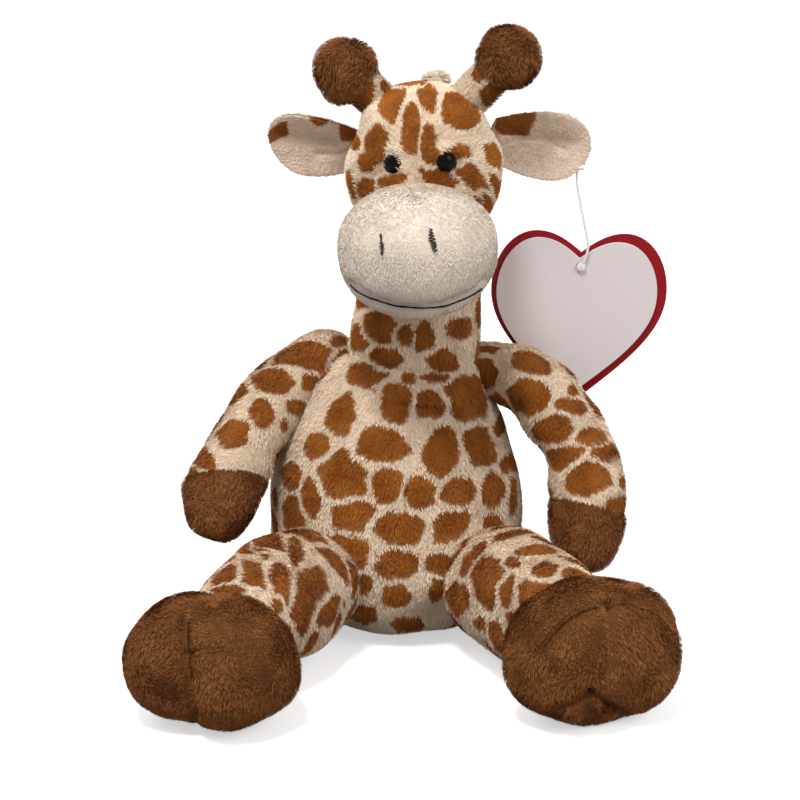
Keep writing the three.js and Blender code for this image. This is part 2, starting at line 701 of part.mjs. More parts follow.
// Mane: a strip over the crown and down the back of the skull
function makeMane(parent) {
  const path = evenShares(5, maneTopAngle, maneBottomAngle)
    .map((angle) => onBall(headForm, behind, angle, maneHalfHeight + seamGap).add(headMiddle));
  const strip = stuffedLimb({
    path,
    radii: [maneHalfHeight, maneHalfHeight],
    reference: sideways,
    flatten: maneHalfWidth / maneHalfHeight,
    blunt: stubBlunt,
  }, 0, liningSides, limbRings);
  piece(parent, 'mane', cut(solid(strip), headShape(-seamGap)), 'tanPlush');
}

// Arms: one stuffed form each, with the hand's cloth sewn on at the wrist and the filling running through
function makeArm(parent, arm, pathShares) {
  const { side, rootX, rootY, rootHeight, reach, forward, drop, wristShare } = arm;
  const name = side > 0 ? 'left' : 'right';
  const group = new THREE.Group();
  parent.add(group);
  const path = pathShares.map(([out, front, down]) => new THREE.Vector3(
    side * (rootX + out * reach),
    rootY - front * forward,
    rootHeight - down * drop,
  ));
  const radii = [armRootRadius, armMiddleRadius, armWristRadius, armHandRadius, armHandRadius];
  const form = { path, radii, reference: rearward, blunt: armBlunt };
  const line = new THREE.CatmullRomCurve3(path, false, 'centripetal');
  const wrist = line.getPointAt(wristShare);
  const ahead = line.getTangentAt(wristShare);
  const pastWrist = slabBeyond(wrist, ahead, wholeReach);
  const handStart = wrist.clone().addScaledVector(ahead, seamGap);
  const beforeWrist = slabBeyond(handStart, ahead.clone().negate(), wholeReach);
  const turnedOut = degrees(armSwingOut);
  const swingAxis = new THREE.Vector3(-Math.cos(turnedOut), -side * Math.sin(turnedOut), 0);
  const torso = swept(torsoShape(-slideGap), path[0], swingAxis, 0, armSwingForward);
  const neck = [
    ...swept(neckShape(-slideGap, bodySides), neckPivot, sideways, -neckBend, neckBend),
    ...swept(neckShape(-slideGap, bodySides), path[0], swingAxis, 0, armSwingForward),
  ];
  const outside = solid(stuffedLimb(form));
  const inside = stuffedLimb(form, armSkin, liningSides);
  piece(group, `arm_${name}`, cut(outside, inside, torso, neck, pastWrist), 'spottedPlush');
  piece(group, `hand_${name}`, cut(outside, inside, beforeWrist), 'brownPlush');
  const filling = solid(stuffedLimb(form, armSkin + seamGap, liningSides));
  piece(group, `arm_stuffing_${name}`, cut(filling, torso, neck), 'fibre');
}

// Feet: a large form with a shallow cleft in front that parts two toes
function footShape({ side, footX, footY, footAbove }, inset, sides, rings) {
  const form = {
    halfWidth: footHalfWidth, halfDepth: footHalfDepth, above: footAbove, below: footBelow, blunt: footBlunt,
  };
  const foot = stuffedBall(form, inset, sides, rings);
  const points = foot.attributes.position;
  for (let i = 0; i < points.count; i += 1) {
    const fromCleft = (points.getX(i) - side * cleftShift) / cleftHalfWidth;
    const front = Math.max(0, -points.getY(i)) / footHalfDepth;
    points.setY(i, points.getY(i) + cleftDepth * front * Math.exp(-(fromCleft ** 2)));
  }
  foot.rotateZ(degrees(side * footTurn));
  return placed(foot, side * footX, footY, footBelow - sitDepth);
}

function makeLeg(parent, leg) {
  const { side, footX, footY } = leg;
  const name = side > 0 ? 'left' : 'right';
  const group = new THREE.Group();
  parent.add(group);
  const hip = new THREE.Vector3(side * hipX, hipY, hipHeight);
  const ankle = new THREE.Vector3(side * footX, footY, ankleHeight);
  const path = evenShares(3).map((share) => hip.clone().lerp(ankle, share));
  const legShape = (inset, ...fineness) => stuffedLimb({
    path,
    radii: [legHipRadius, legHipRadius, legAnkleRadius],
    reference: upright,
    blunt: legBlunt,
  }, inset, ...fineness);
  const torso = swept(torsoShape(-slideGap), hip, upright, side * -legSpreadIn, side * legSpreadOut);
  const inside = legShape(legSkin, liningSides, limbRings);
  const footInside = footShape(leg, pileSkin, liningSides, liningRings);
  const footFilling = footShape(leg, pileSkin + seamGap, liningSides, liningRings);
  const legSkinSolid = cut(solid(legShape(0)), inside, torso, footShape(leg, -seamGap), floorSlab);
  piece(group, `leg_${name}`, legSkinSolid, 'spottedPlush');
  piece(group, `foot_${name}`, cut(solid(footShape(leg, 0)), footInside, inside, floorSlab), 'brownPlush');
  const legFilling = cut(solid(legShape(legSkin + seamGap, liningSides, limbRings)), torso);
  piece(group, `leg_stuffing_${name}`, legFilling.add(cut(solid(footFilling), floorSlab)), 'fibre');
}

// Tail: a thin cord of plush that hangs down the back, with a tuft
function makeTail(parent) {
  const group = new THREE.Group();
  parent.add(group);
  const below = Math.asin((bellyHeight - tailRootHeight) / bellyHeight);
  const surface = onBall(torsoForm, behind, -THREE.MathUtils.radToDeg(below));
  const pivot = new THREE.Vector3(0, surface.y - torsoForwardSet, tailRootHeight);
  const root = new THREE.Vector3(0, pivot.y - tailRadius, tailRootHeight);
  const ahead = new THREE.Vector3(0, Math.sin(degrees(tailLean)), -Math.cos(degrees(tailLean)));
  const at = (length) => root.clone().addScaledVector(ahead, length);
  const outward = new THREE.Vector3(0, tailStandOff, 0);
  const bend = at(tailBendDrop).add(outward);
  const tuftTop = at(tailLength - tailTuftLength).add(outward);
  const tuftEnd = at(tailLength).add(outward);
  const cord = stuffedLimb({
    path: [root, bend, tuftTop],
    radii: [tailRadius, tailRadius],
    reference: sideways,
    blunt: stubBlunt,
  }, 0, liningSides, stubRings);
  const tuft = (inset) => stuffedLimb({
    path: [tuftTop, tuftTop.clone().lerp(tuftEnd, 1 / 2), tuftEnd],
    radii: [tailTuftRadius, tailTuftRadius, tailRadius],
    reference: sideways,
    blunt: tuftBlunt,
  }, inset, limbSides, stubRings);
  const torso = swept(torsoShape(-slideGap), pivot, sideways, 0, tailLift);
  piece(group, 'tail', cut(solid(cord), torso, tuft(-seamGap)), 'spottedPlush');
  piece(group, 'tail_tuft', tuft(0), 'brownPlush');
}

// Swing tag: hangs upright from a bar in the lower seam of the left ear
function heartLeaf(width, height, lean, holeX, holeZ) {
  const heart = new THREE.Shape();
  const half = width / 2;
  heart.moveTo(heartStartShares[0] * half, heartStartShares[1] * height);
  heartCurveShares.forEach(([ax, ay, bx, by, x, y]) => {
    heart.bezierCurveTo(ax * half, ay * height, bx * half, by * height, x * half, y * height);
  });
  const upLeft = [...heartCurveShares].reverse();
  upLeft.forEach(([ax, ay, bx, by], i) => {
    const next = upLeft[i + 1] ?? [0, 0, 0, 0, ...heartStartShares];
    heart.bezierCurveTo(-bx * half, by * height, -ax * half, ay * height, -next[4] * half, next[5] * height);
  });
  const options = { depth: tagLeafThickness, bevelEnabled: false, curveSegments: 7 };
  const leaf = new THREE.ExtrudeGeometry(heart, options);
  leaf.rotateX(Math.PI / 2).rotateY(degrees(lean));
  const hole = new THREE.CylinderGeometry(tagHoleRadius, tagHoleRadius, overrun, 10);
  return cut(solid(leaf), hole.translate(holeX, 0, holeZ));
}

function makeTag(parent, pivot) {
  const group = new THREE.Group();
  group.position.copy(pivot);
  parent.add(group);
  const front = fastenerRadius + seamGap;
  const backOfLeaves = front + 2 * tagLeafThickness + seamGap;
  const holeZ = -fastenerDrop;
  const dipZ = holeZ + tagHoleDrop;
  const frontLeaf = heartLeaf(tagWidth, tagHeight, tagLean, 0, -tagHoleDrop);
  const backHoleZ = -tagHoleDrop - tagBackShiftZ;
  const backLeaf = heartLeaf(tagBackWidth, tagBackHeight, tagLean, -tagBackShiftX, backHoleZ);
  const frontMesh = piece(group, 'tag_front', frontLeaf, 'paleCard');
  frontMesh.position.set(fastenerHoleShift, front + tagLeafThickness, dipZ);
  const backMesh = piece(group, 'tag_back', backLeaf, 'redCard');
  backMesh.position.set(fastenerHoleShift + tagBackShiftX, backOfLeaves, dipZ + tagBackShiftZ);
  piece(group, 'tag_fastener', fastenerShape(), 'clearPlastic');
}

// The fastener, about its bar: the filament bows outwards, and a knob and a foot hold the leaves between them
function fastenerShape() {
  const front = fastenerRadius + seamGap;
  const backOfLeaves = front + 2 * tagLeafThickness + seamGap;
  const path = fastenerShares.map(([bow, shift, drop]) => new THREE.Vector3(
    bow * fastenerBow + shift * fastenerHoleShift,
    0,
    -drop * fastenerDrop,
  ));
  const filament = solid(threadAlong(path, fastenerRadius, 14, 8));
  const bar = solid(rodAlongX(fastenerBarRadius, fastenerBarLength, 8));
  const knob = new THREE.SphereGeometry(fastenerKnobRadius, 10, 8).scale(1, fastenerKnobFlatShare, 1)
    .translate(fastenerHoleShift, 0, -fastenerDrop);
  const throughLength = backOfLeaves + 2 * seamGap;
  const through = new THREE.CylinderGeometry(fastenerRadius, fastenerRadius, throughLength, 8)
    .translate(fastenerHoleShift, throughLength / 2, -fastenerDrop);
  const foot = rodAlongX(fastenerBarRadius, fastenerBarLength, 8)
    .translate(fastenerHoleShift, backOfLeaves + seamGap + fastenerBarRadius, -fastenerDrop);
  return [knob, through, foot].reduce((body, end) => body.add(solid(end)), filament.add(bar));
}

// Where the bar lies in the left ear, in the head's frame
const barWidth = earHalfWidthAt(fastenerAlongEarShare) - fastenerEdgeInset;
const barInEar = new THREE.Vector3(fastenerAlongEarShare * earLength, earCupAt(barWidth), -barWidth);
const barInHead = barInEar.applyMatrix4(earMatrix(leftEar));
const barInWorld = barInHead.clone().applyMatrix4(headMatrix);
const headTurnBack = new THREE.Quaternion().setFromRotationMatrix(headMatrix).invert();
const uprightInHead = new THREE.Matrix4().compose(barInHead, headTurnBack, new THREE.Vector3(1, 1, 1));

// A pocket in the ear's lower seam in which the bar turns, open below for the filament
function fastenerRoom() {
  const depth = 2 * (fastenerBarRadius + slideGap);
  const turnRadius = fastenerBarLength / 2 + slideGap;
  const turning = new THREE.CylinderGeometry(turnRadius, turnRadius, depth, 14);
  const reach = fastenerEdgeInset + fastenerBarLength;
  const slotWidth = 2 * (reach * Math.tan(degrees(tagSwing)) + fastenerRadius + slideGap);
  const slot = new THREE.BoxGeometry(slotWidth, depth, reach).translate(0, 0, -reach / 2);
  return [turning, slot].map((room) => moved(room, uprightInHead));
}

const neckGroup = new THREE.Group();
const headGroup = new THREE.Group();
headGroup.applyMatrix4(headMatrix);
giraffe.add(neckGroup);
neckGroup.add(headGroup);
makeTorso(giraffe);
makeTail(giraffe);
makeNeck(neckGroup);
makeHead(headGroup);
makeEmbroidery(headGroup);
makeMane(headGroup);
makeEar(headGroup, leftEar, fastenerRoom());
makeEar(headGroup, rightEar, []);
[leftHorn, rightHorn].forEach((horn) => makeHorn(headGroup, horn));
makeArm(giraffe, leftArm, leftArmPathShares);
makeArm(giraffe, rightArm, rightArmPathShares);
[leftLeg, rightLeg].forEach((leg) => makeLeg(giraffe, leg));
makeTag(giraffe, barInWorld);

export default giraffe;
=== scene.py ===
import math

import bpy
import numpy as np
from mathutils import Matrix, Vector, kdtree


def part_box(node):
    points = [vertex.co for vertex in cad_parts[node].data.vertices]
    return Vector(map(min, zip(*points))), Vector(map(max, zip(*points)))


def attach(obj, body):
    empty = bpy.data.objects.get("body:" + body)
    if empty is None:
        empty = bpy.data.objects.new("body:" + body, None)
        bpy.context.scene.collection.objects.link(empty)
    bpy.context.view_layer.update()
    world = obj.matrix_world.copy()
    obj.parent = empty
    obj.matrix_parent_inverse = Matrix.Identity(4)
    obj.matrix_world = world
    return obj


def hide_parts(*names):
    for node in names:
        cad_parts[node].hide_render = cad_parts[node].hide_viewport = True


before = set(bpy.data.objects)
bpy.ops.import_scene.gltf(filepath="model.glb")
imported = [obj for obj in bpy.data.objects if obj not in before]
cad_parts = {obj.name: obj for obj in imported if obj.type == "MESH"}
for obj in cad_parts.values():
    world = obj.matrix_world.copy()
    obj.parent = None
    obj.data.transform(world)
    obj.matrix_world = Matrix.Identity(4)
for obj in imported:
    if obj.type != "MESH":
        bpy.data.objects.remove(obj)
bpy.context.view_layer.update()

# Plush giraffe, dressed over its frame. Lengths are in millimetres and become metres as each mesh is made.
mm = 0.001
up = np.array([0.0, 0.0, 1.0])
back = np.array([0.0, 1.0, 0.0])
across = np.array([1.0, 0.0, 0.0])

# The view comes first, because seams and spots are placed by where they stand in it
view = {
    "distance": 1000,
    "elevation": 18,  # degrees over level
    "target": (0, 0, 81.5),
    "lens": 125,
    "sensor": 36,
    "imageWidth": 800,  # pixels
}
rise = math.radians(view["elevation"])
target = np.array(view["target"], float)
cameraSpot = target + view["distance"] * np.array([0, -math.cos(rise), math.sin(rise)])
viewAhead = np.array([0, math.cos(rise), -math.sin(rise)])
viewUp = np.array([0, math.sin(rise), math.cos(rise)])
pixelsPerSlope = view["lens"] / view["sensor"] * view["imageWidth"]


def toPixels(points):
    away = points - cameraSpot
    depth = away @ viewAhead
    middle = view["imageWidth"] / 2
    return np.stack([middle + pixelsPerSlope * away[:, 0] / depth,
                     middle - pixelsPerSlope * (away @ viewUp) / depth], 1)


def pixelSize(points):
    return (points - cameraSpot) @ viewAhead / pixelsPerSlope  # millimetres that a pixel covers there


def facingView(points, normals):
    return np.sum(normals * unit(cameraSpot - points), 1)


def unit(vectors):
    return vectors / np.maximum(np.linalg.norm(vectors, axis=-1, keepdims=True), 1e-9)


def smooth(x, low, high):
    t = np.clip((x - low) / (high - low), 0, 1)
    return t * t * (3 - 2 * t)


unevenness = {"waves": 7, "paces": (0.6, 1.5)}


def waves(points, size, seed):  # soft noise from about -1 to 1, with lumps about as large as size
    draw = np.random.default_rng(seed)
    count = unevenness["waves"]
    ways = unit(draw.normal(size=(count, 3))) * draw.uniform(*unevenness["paces"], (count, 1)) * math.pi / size
    return np.sin(points @ ways.T + draw.uniform(0, 2 * math.pi, count)).sum(1) / math.sqrt(count)


def waveVectors(points, size, seed):
    return np.stack([waves(points, size, seed + step) for step in range(3)], 1)


# Camera, floor and light
def makeView():
    data = bpy.data.cameras.new("view")
    data.lens = view["lens"]
    data.sensor_width = view["sensor"]
    camera = bpy.data.objects.new("view", data)
    camera.location = Vector(cameraSpot * mm)
    camera.rotation_euler = (Vector(target * mm) - camera.location).to_track_quat("-Z", "Y").to_euler()
    bpy.context.scene.collection.objects.link(camera)
    bpy.context.scene.camera = camera


studio = {
    "floorHalf": 30,  # metres
    "floorColour": (0.93, 0.925, 0.92, 1),
    "floorRoughness": 0.9,
    "floorGloss": 0.1,
    "floorBounce": (0.27, 0.26, 0.25, 1),  # what the floor throws back at the toy
    "floorGlow": 0.54,  # only the camera sees it, so that the floor is white away from the shadow
    "skyColour": (1, 0.985, 0.96, 1),
    "skyLight": 0.45,
    "lamps": {  # place and size in metres, then power
        "key": ((-0.35, -0.8, 1.9), 0.5, 28),
        "fill": ((1.05, -0.8, 1.0), 0.8, 8),
        "side": ((-1.0, -0.3, 1.2), 0.9, 5),
    },
}


def makeLamp(name, place, size, power):
    data = bpy.data.lights.new(name, "AREA")
    data.shape = "DISK"
    data.size = size
    data.energy = power
    lamp = bpy.data.objects.new(name, data)
    lamp.location = place
    lamp.rotation_euler = (Vector(target * mm) - lamp.location).to_track_quat("-Z", "Y").to_euler()
    bpy.context.scene.collection.objects.link(lamp)


def newMaterial(name):
    material = bpy.data.materials.new(name)
    material.use_nodes = True
    return material, material.node_tree, material.node_tree.nodes["Principled BSDF"]


def mixed(tree, factor, first, second, kind="MIX"):
    node = tree.nodes.new("ShaderNodeMix")
    node.data_type = "RGBA"
    node.blend_type = kind
    for socket, value in ((node.inputs[0], factor), (node.inputs[6], first), (node.inputs[7], second)):
        if hasattr(value, "links"):
            tree.links.new(value, socket)
        else:
            socket.default_value = value
    return node.outputs[2]


def spread(tree, value, low, high, least=0, most=1):  # maps least to most onto low to high
    node = tree.nodes.new("ShaderNodeMapRange")
    tree.links.new(value, node.inputs["Value"])
    for socket, level in (("From Min", least), ("From Max", most), ("To Min", low), ("To Max", high)):
        node.inputs[socket].default_value = level
    return node.outputs[0]


def whiteShare(tree):  # 1 where the floor or sky is seen, mirrored or looked through, 0 where it only lights
    path = tree.nodes.new("ShaderNodeLightPath")
    share = path.outputs["Is Camera Ray"]
    for ray in ("Is Glossy Ray", "Is Transmission Ray"):
        either = tree.nodes.new("ShaderNodeMath")
        either.operation = "MAXIMUM"
        tree.links.new(share, either.inputs[0])
        tree.links.new(path.outputs[ray], either.inputs[1])
        share = either.outputs[0]
    return share


def makeFloor():
    half = studio["floorHalf"]
    corners = [(-half, -half, 0), (half, -half, 0), (half, half, 0), (-half, half, 0)]
    mesh = bpy.data.meshes.new("floor")
    mesh.from_pydata(corners, [], [(0, 1, 2, 3)])
    floor = bpy.data.objects.new("floor", mesh)
    bpy.context.scene.collection.objects.link(floor)
    material, tree, shader = newMaterial("floor")
    white = whiteShare(tree)
    colour = mixed(tree, white, studio["floorBounce"], studio["floorColour"])
    tree.links.new(colour, shader.inputs["Base Color"])
    tree.links.new(spread(tree, white, 0, studio["floorGlow"]), shader.inputs["Emission Strength"])
    shader.inputs["Emission Color"].default_value = (1, 1, 1, 1)
    shader.inputs["Roughness"].default_value = studio["floorRoughness"]
    shader.inputs["Specular IOR Level"].default_value = studio["floorGloss"]
    mesh.materials.append(material)


def makeSky():
    world = bpy.data.worlds.new("studio")
    bpy.context.scene.world = world
    world.use_nodes = True
    tree = world.node_tree
    tree.nodes.clear()
    mix = tree.nodes.new("ShaderNodeMixShader")
    out = tree.nodes.new("ShaderNodeOutputWorld")
    tree.links.new(whiteShare(tree), mix.inputs[0])
    for number, colour, strength in ((1, studio["skyColour"], studio["skyLight"]), (2, (1, 1, 1, 1), 1)):
        light = tree.nodes.new("ShaderNodeBackground")
        light.inputs["Color"].default_value = colour
        light.inputs["Strength"].default_value = strength
        tree.links.new(light.outputs[0], mix.inputs[number])
    tree.links.new(mix.outputs[0], out.inputs["Surface"])


def makeStudio():
    bpy.context.scene.view_settings.view_transform = "Standard"
    makeFloor()
    makeSky()
    for name, lamp in studio["lamps"].items():
        makeLamp(name, *lamp)


makeView()
makeStudio()
print("view and studio are set")


# Plush finishes. Each strand carries its spot, its own shade and its height, and the material reads them. From the
# height it paints shade into the pile: strands darken towards their roots, the skin under them is as dark as the
# roots, and the tips are painted a little lighter.
# A look without a spot colour is clouded all over with its deep colour.
spotColours = {"spot": (0.46, 0.155, 0.026, 1), "deep": (0.30, 0.088, 0.014, 1)}
# each look's root level is painted shade, the darkening deep in the pile between strands
looks = {
    "spotted_plush": {
        **spotColours, "ground": (0.96, 0.78, 0.585, 1), "paintedRootShade": 0.82, "strandShade": 0.14, "sheen": 0.08,
    },
    "cream_plush": {
        "ground": (0.88, 0.785, 0.68, 1), "deep": (0.84, 0.73, 0.61, 1),
        "paintedRootShade": 0.9, "strandShade": 0.05, "sheen": 0.1,
    },
    "ear_plush": {  # pinker than the muzzle; part of its warmth and lightness is painted light that makes up for the shade in the ear's cup
        **spotColours, "ground": (0.96, 0.77, 0.62, 1), "paintedRootShade": 0.9, "strandShade": 0.07, "sheen": 0.1,
    },
    "brown_plush": {
        "ground": (0.42, 0.163, 0.054, 1), "deep": (0.27, 0.095, 0.029, 1),
        "paintedRootShade": 0.52, "strandShade": 0.45, "sheen": 0.0,
    },
    "tan_plush": {
        "ground": (0.86, 0.72, 0.53, 1), "deep": (0.74, 0.58, 0.4, 1),
        "paintedRootShade": 0.75, "strandShade": 0.2, "sheen": 0.1,
    },
}
plush = {
    "gloss": 0.05, "sheenRoughness": 0.5, "bump": (0.25, 0.3),  # strength, and depth in millimetres
    # painted light: the level at a strand's tip, a little over its own colour
    "paintedTipLight": 1.04,
    "lighter": 0.35,  # how much lighter a strand may be, as a share of how much darker
    "cloudDetail": 3, "cloudRange": (0.3, 0.7),
}
clouds = {  # size in millimetres, then the lowest and the highest level
    "spot": (9, 0, 1),
    "ground": (14, 0, 0.5),
    "tone": (5, 0.9, 1.06),
    "roughness": (3, 0.8, 0.95),
    "height": (0.6, 0, 1),
}


def reading(tree, attribute):
    node = tree.nodes.new("ShaderNodeAttribute")
    node.attribute_name = attribute
    return node


def mottle(tree, place, size, low, high):  # cloudy noise between two levels
    noise = tree.nodes.new("ShaderNodeTexNoise")
    noise.inputs["Scale"].default_value = 1 / size
    noise.inputs["Detail"].default_value = plush["cloudDetail"]
    tree.links.new(place, noise.inputs["Vector"])
    return spread(tree, noise.outputs[0], low, high, *plush["cloudRange"])


def addBump(tree, shader, height, strength, depth):
    bump = tree.nodes.new("ShaderNodeBump")
    bump.inputs["Strength"].default_value = strength
    bump.inputs["Distance"].default_value = depth * mm
    tree.links.new(height, bump.inputs["Height"])
    tree.links.new(bump.outputs[0], shader.inputs["Normal"])


def plushMaterial(name, look):
    material, tree, shader = newMaterial(name)
    root = reading(tree, "furRoot").outputs["Vector"]
    labels = ("spot", "strandShade", "strandHeight")
    spot, shade, height = (reading(tree, label).outputs["Fac"] for label in labels)
    ground = look["ground"]
    spotColour = mixed(tree, mottle(tree, root, *clouds["spot"]), look.get("spot", ground), look["deep"])
    if "spot" not in look:
        ground = mixed(tree, mottle(tree, root, *clouds["ground"]), ground, look["deep"])
    colour = mixed(tree, spot, ground, spotColour)
    levels = (
        mottle(tree, root, *clouds["tone"]),
        spread(tree, shade, 1 - look["strandShade"], 1 + look["strandShade"] * plush["lighter"]),
        # painted shade along each strand, from dark roots to slightly lighter tips
        spread(tree, height, look["paintedRootShade"], plush["paintedTipLight"]),
    )
    for level in levels:
        grey = tree.nodes.new("ShaderNodeCombineColor")
        for socket in grey.inputs:
            tree.links.new(level, socket)
        colour = mixed(tree, 1.0, colour, grey.outputs[0], "MULTIPLY")
    tree.links.new(colour, shader.inputs["Base Color"])
    tree.links.new(mottle(tree, root, *clouds["roughness"]), shader.inputs["Roughness"])
    shader.inputs["Specular IOR Level"].default_value = plush["gloss"]
    shader.inputs["Sheen Weight"].default_value = look["sheen"]
    shader.inputs["Sheen Roughness"].default_value = plush["sheenRoughness"]
    addBump(tree, shader, mottle(tree, root, *clouds["height"]), *plush["bump"])
    return material


def grainyMaterial(name, look):  # thread, card or plastic, with fine grain in its colour and finish
    material, tree, shader = newMaterial(name)
    coordinates = tree.nodes.new("ShaderNodeTexCoord")
    noise = tree.nodes.new("ShaderNodeTexNoise")
    noise.inputs["Scale"].default_value = look["grain"]
    noise.inputs["Detail"].default_value = look.get("grainDetail", 2)
    tree.links.new(coordinates.outputs["Object"], noise.inputs["Vector"])
    grain = noise.outputs[0]
    tree.links.new(mixed(tree, grain, look["colour"], look["otherColour"]), shader.inputs["Base Color"])
    if "roughness" in look:
        tree.links.new(spread(tree, grain, *look["roughness"]), shader.inputs["Roughness"])
    if "bump" in look:
        addBump(tree, shader, grain, *look["bump"])
    for socket, value in look["sockets"].items():
        shader.inputs[socket].default_value = value
    return material


finishes = {name: plushMaterial(name, look) for name, look in looks.items()}


# Forms: a grid of points, rings by sides, with a single point at a closed end
def turnsOf(sides, start=0):
    return start + np.linspace(0, 2 * math.pi, sides, endpoint=False)


def ballGrid(form, inset, sides, rings):
    down = np.linspace(0, math.pi, rings + 1)[:, None]
    turn = turnsOf(sides, math.pi / 2)[None, :]
    full = np.where(down < math.pi / 2, form.get("bluntBelow", form["blunt"]), form["blunt"])
    lift = -np.sign(np.cos(down)) * np.abs(np.cos(down)) ** full
    out = np.abs(np.sin(down)) ** full
    tall = np.where(lift < 0, form["below"] - inset, form["above"] - inset)
    wide, deep = form["halfWidth"] - inset, form["halfDepth"] - inset
    x, y, z = wide * out * np.cos(turn), deep * out * np.sin(turn), lift * tall * np.ones_like(turn)
    return facingOut(np.stack([x, y, z], 2))


def ballDepth(points, form):  # how deep points lie inside a ball, in its own frame
    full = np.where(points[:, 2] < 0, form.get("bluntBelow", form["blunt"]), form["blunt"])
    tall = np.where(points[:, 2] < 0, form["below"], form["above"])
    flat = np.hypot(points[:, 0] / form["halfWidth"], points[:, 1] / form["halfDepth"])
    size = (flat ** (2 / full) + np.abs(points[:, 2] / tall) ** (2 / full)) ** (full / 2)
    return (1 - size) * min(form["halfWidth"], form["halfDepth"], form["above"], form["below"])


def readAlong(places, numbers, line):  # points at places between the numbered ones of a line
    return np.stack([np.interp(places, numbers, line[:, k]) for k in range(3)], 1)


curveSteps = 60  # between two points of a path


def curveThrough(points, samples=240):  # a centripetal curve, sampled at even lengths
    points = np.array(points, float)
    ends = np.vstack([2 * points[0] - points[1], points, 2 * points[-1] - points[-2]])
    made = []
    for i in range(1, len(ends) - 2):
        x0, x1, x2, x3 = ends[i - 1:i + 3]
        d0, d1, d2 = (max(np.linalg.norm(b - a), 1e-4) ** 0.5 for a, b in ((x0, x1), (x1, x2), (x2, x3)))
        t1 = ((x1 - x0) / d0 - (x2 - x0) / (d0 + d1) + (x2 - x1) / d1) * d1
        t2 = ((x2 - x1) / d1 - (x3 - x1) / (d1 + d2) + (x3 - x2) / d2) * d1
        t = np.linspace(0, 1, curveSteps, endpoint=i == len(ends) - 3)[:, None]
        square, cube = -3 * x1 + 3 * x2 - 2 * t1 - t2, 2 * x1 - 2 * x2 + t1 + t2
        made.append(x1 + t1 * t + square * t ** 2 + cube * t ** 3)
    line = np.vstack(made)
    run = np.concatenate([[0], np.cumsum(np.linalg.norm(np.diff(line, axis=0), axis=1))])
    return readAlong(np.linspace(0, run[-1], samples), run, line), run[-1]


def radiusAlong(share, radii):
    place = np.clip(share, 0, 1) * (len(radii) - 1)
    start = np.minimum(np.floor(place).astype(int), len(radii) - 2)
    ease = smooth(place - start, 0, 1)
    radii = np.array(radii, float)
    return radii[start] + (radii[start + 1] - radii[start]) * ease


def limbGrid(form, shares, inset, sides):  # rings of a limb at some shares of its length
    line, length = curveThrough(form["path"])
    trim = inset / length
    place = np.clip(trim + (1 - 2 * trim) * shares, 0, 1) * (len(line) - 1)
    middle = readAlong(place, np.arange(len(line)), line)
    ahead = unit(readAlong(place, np.arange(len(line)), np.gradient(line, axis=0)))
    sideway = unit(np.cross(ahead, form["reference"]))
    upward = np.cross(ahead, sideway) * form.get("flatten", 1)
    end = (1 - np.abs(2 * shares - 1) ** form["blunt"]) ** (1 / form["blunt"])
    radius = ((radiusAlong(shares, form["radii"]) - inset) * end)[:, None, None]
    turn = turnsOf(sides, math.pi / 2)[None, :, None]
    around = sideway[:, None] * np.cos(turn) + upward[:, None] * np.sin(turn)
    return facingOut(middle[:, None] + radius * around)


def limbDepth(points, form):  # how deep points lie inside a limb
    line, length = curveThrough(form["path"], 60)
    away = np.linalg.norm(points[:, None] - line[None], axis=2)
    nearest = away.argmin(1)
    last = len(line) - 1
    radii = radiusAlong(nearest / last, form["radii"])
    inEnds = np.minimum(nearest, last - nearest) / last * length
    return np.minimum(radii - away.min(1), inEnds + radii * 0.3)  # its ends are round


def evenEnds(count):  # shares that crowd towards both round ends
    return (1 - np.cos(np.linspace(0, math.pi, count))) / 2


def turnMatrix(axis, angle):
    return np.array(Matrix.Rotation(math.radians(angle), 4, Vector(axis)))


def shiftMatrix(x, y, z):
    return np.array(Matrix.Translation((x, y, z)))


def moved(points, matrix):
    return points @ matrix[:3, :3].T + matrix[:3, 3]


# Skins: a grid becomes a closed sheet of faces with its own layout
def sheetOf(grid):
    rings, sides = grid.shape[:2]
    ring, side = (index.ravel() for index in np.meshgrid(np.arange(rings - 1), np.arange(sides), indexing="ij"))
    after = (side + 1) % sides
    low, high = ring * sides, (ring + 1) * sides
    faces = np.stack([low + side, low + after, high + after, high + side], 1)
    u0, u1 = side / sides, (side + 1) / sides
    v0, v1 = ring / (rings - 1), (ring + 1) / (rings - 1)
    layout = np.stack([u0, v0, u1, v0, u1, v1, u0, v1], 1).reshape(-1, 4, 2)
    return grid.reshape(-1, 3), faces, layout


def skinNormals(grid):
    points, faces, _ = sheetOf(grid)
    a, b, c, d = (points[faces[:, corner]] for corner in range(4))
    flat = np.cross(c - a, d - b)
    normals = np.zeros_like(points)
    for corner in range(4):
        np.add.at(normals, faces[:, corner], flat)
    sides = grid.shape[1]
    for end in (slice(0, sides), slice(len(points) - sides, len(points))):
        if np.ptp(points[end], axis=0).max() < 1e-3:  # a closed end
            normals[end] = normals[end].sum(0)
    return unit(normals)


def facingOut(grid):  # turns a grid round where its faces point inwards
    points, faces, _ = sheetOf(grid)
    a, b, c, d = (points[faces[:, corner]] - points.mean(0) for corner in range(4))
    volume = np.sum(np.cross(a, b) * c) + np.sum(np.cross(a, c) * d)
    return grid if volume > 0 else grid[:, ::-1].copy()


def seenShare(points, normals):  # 1 where the view sees a skin well, 0 where it turns away
    return smooth(facingView(points, normals), 0, 0.3)


def lineDistance(points, line):  # from points to a line of points, in any number of dimensions
    line = np.array(line, float)
    best = np.full(len(points), np.inf)
    for a, b in zip(line[:-1], line[1:]):
        step = b - a
        share = np.clip(((points - a) @ step) / max(step @ step, 1e-9), 0, 1)
        best = np.minimum(best, np.linalg.norm(points - a - share[:, None] * step, axis=1))
    return best


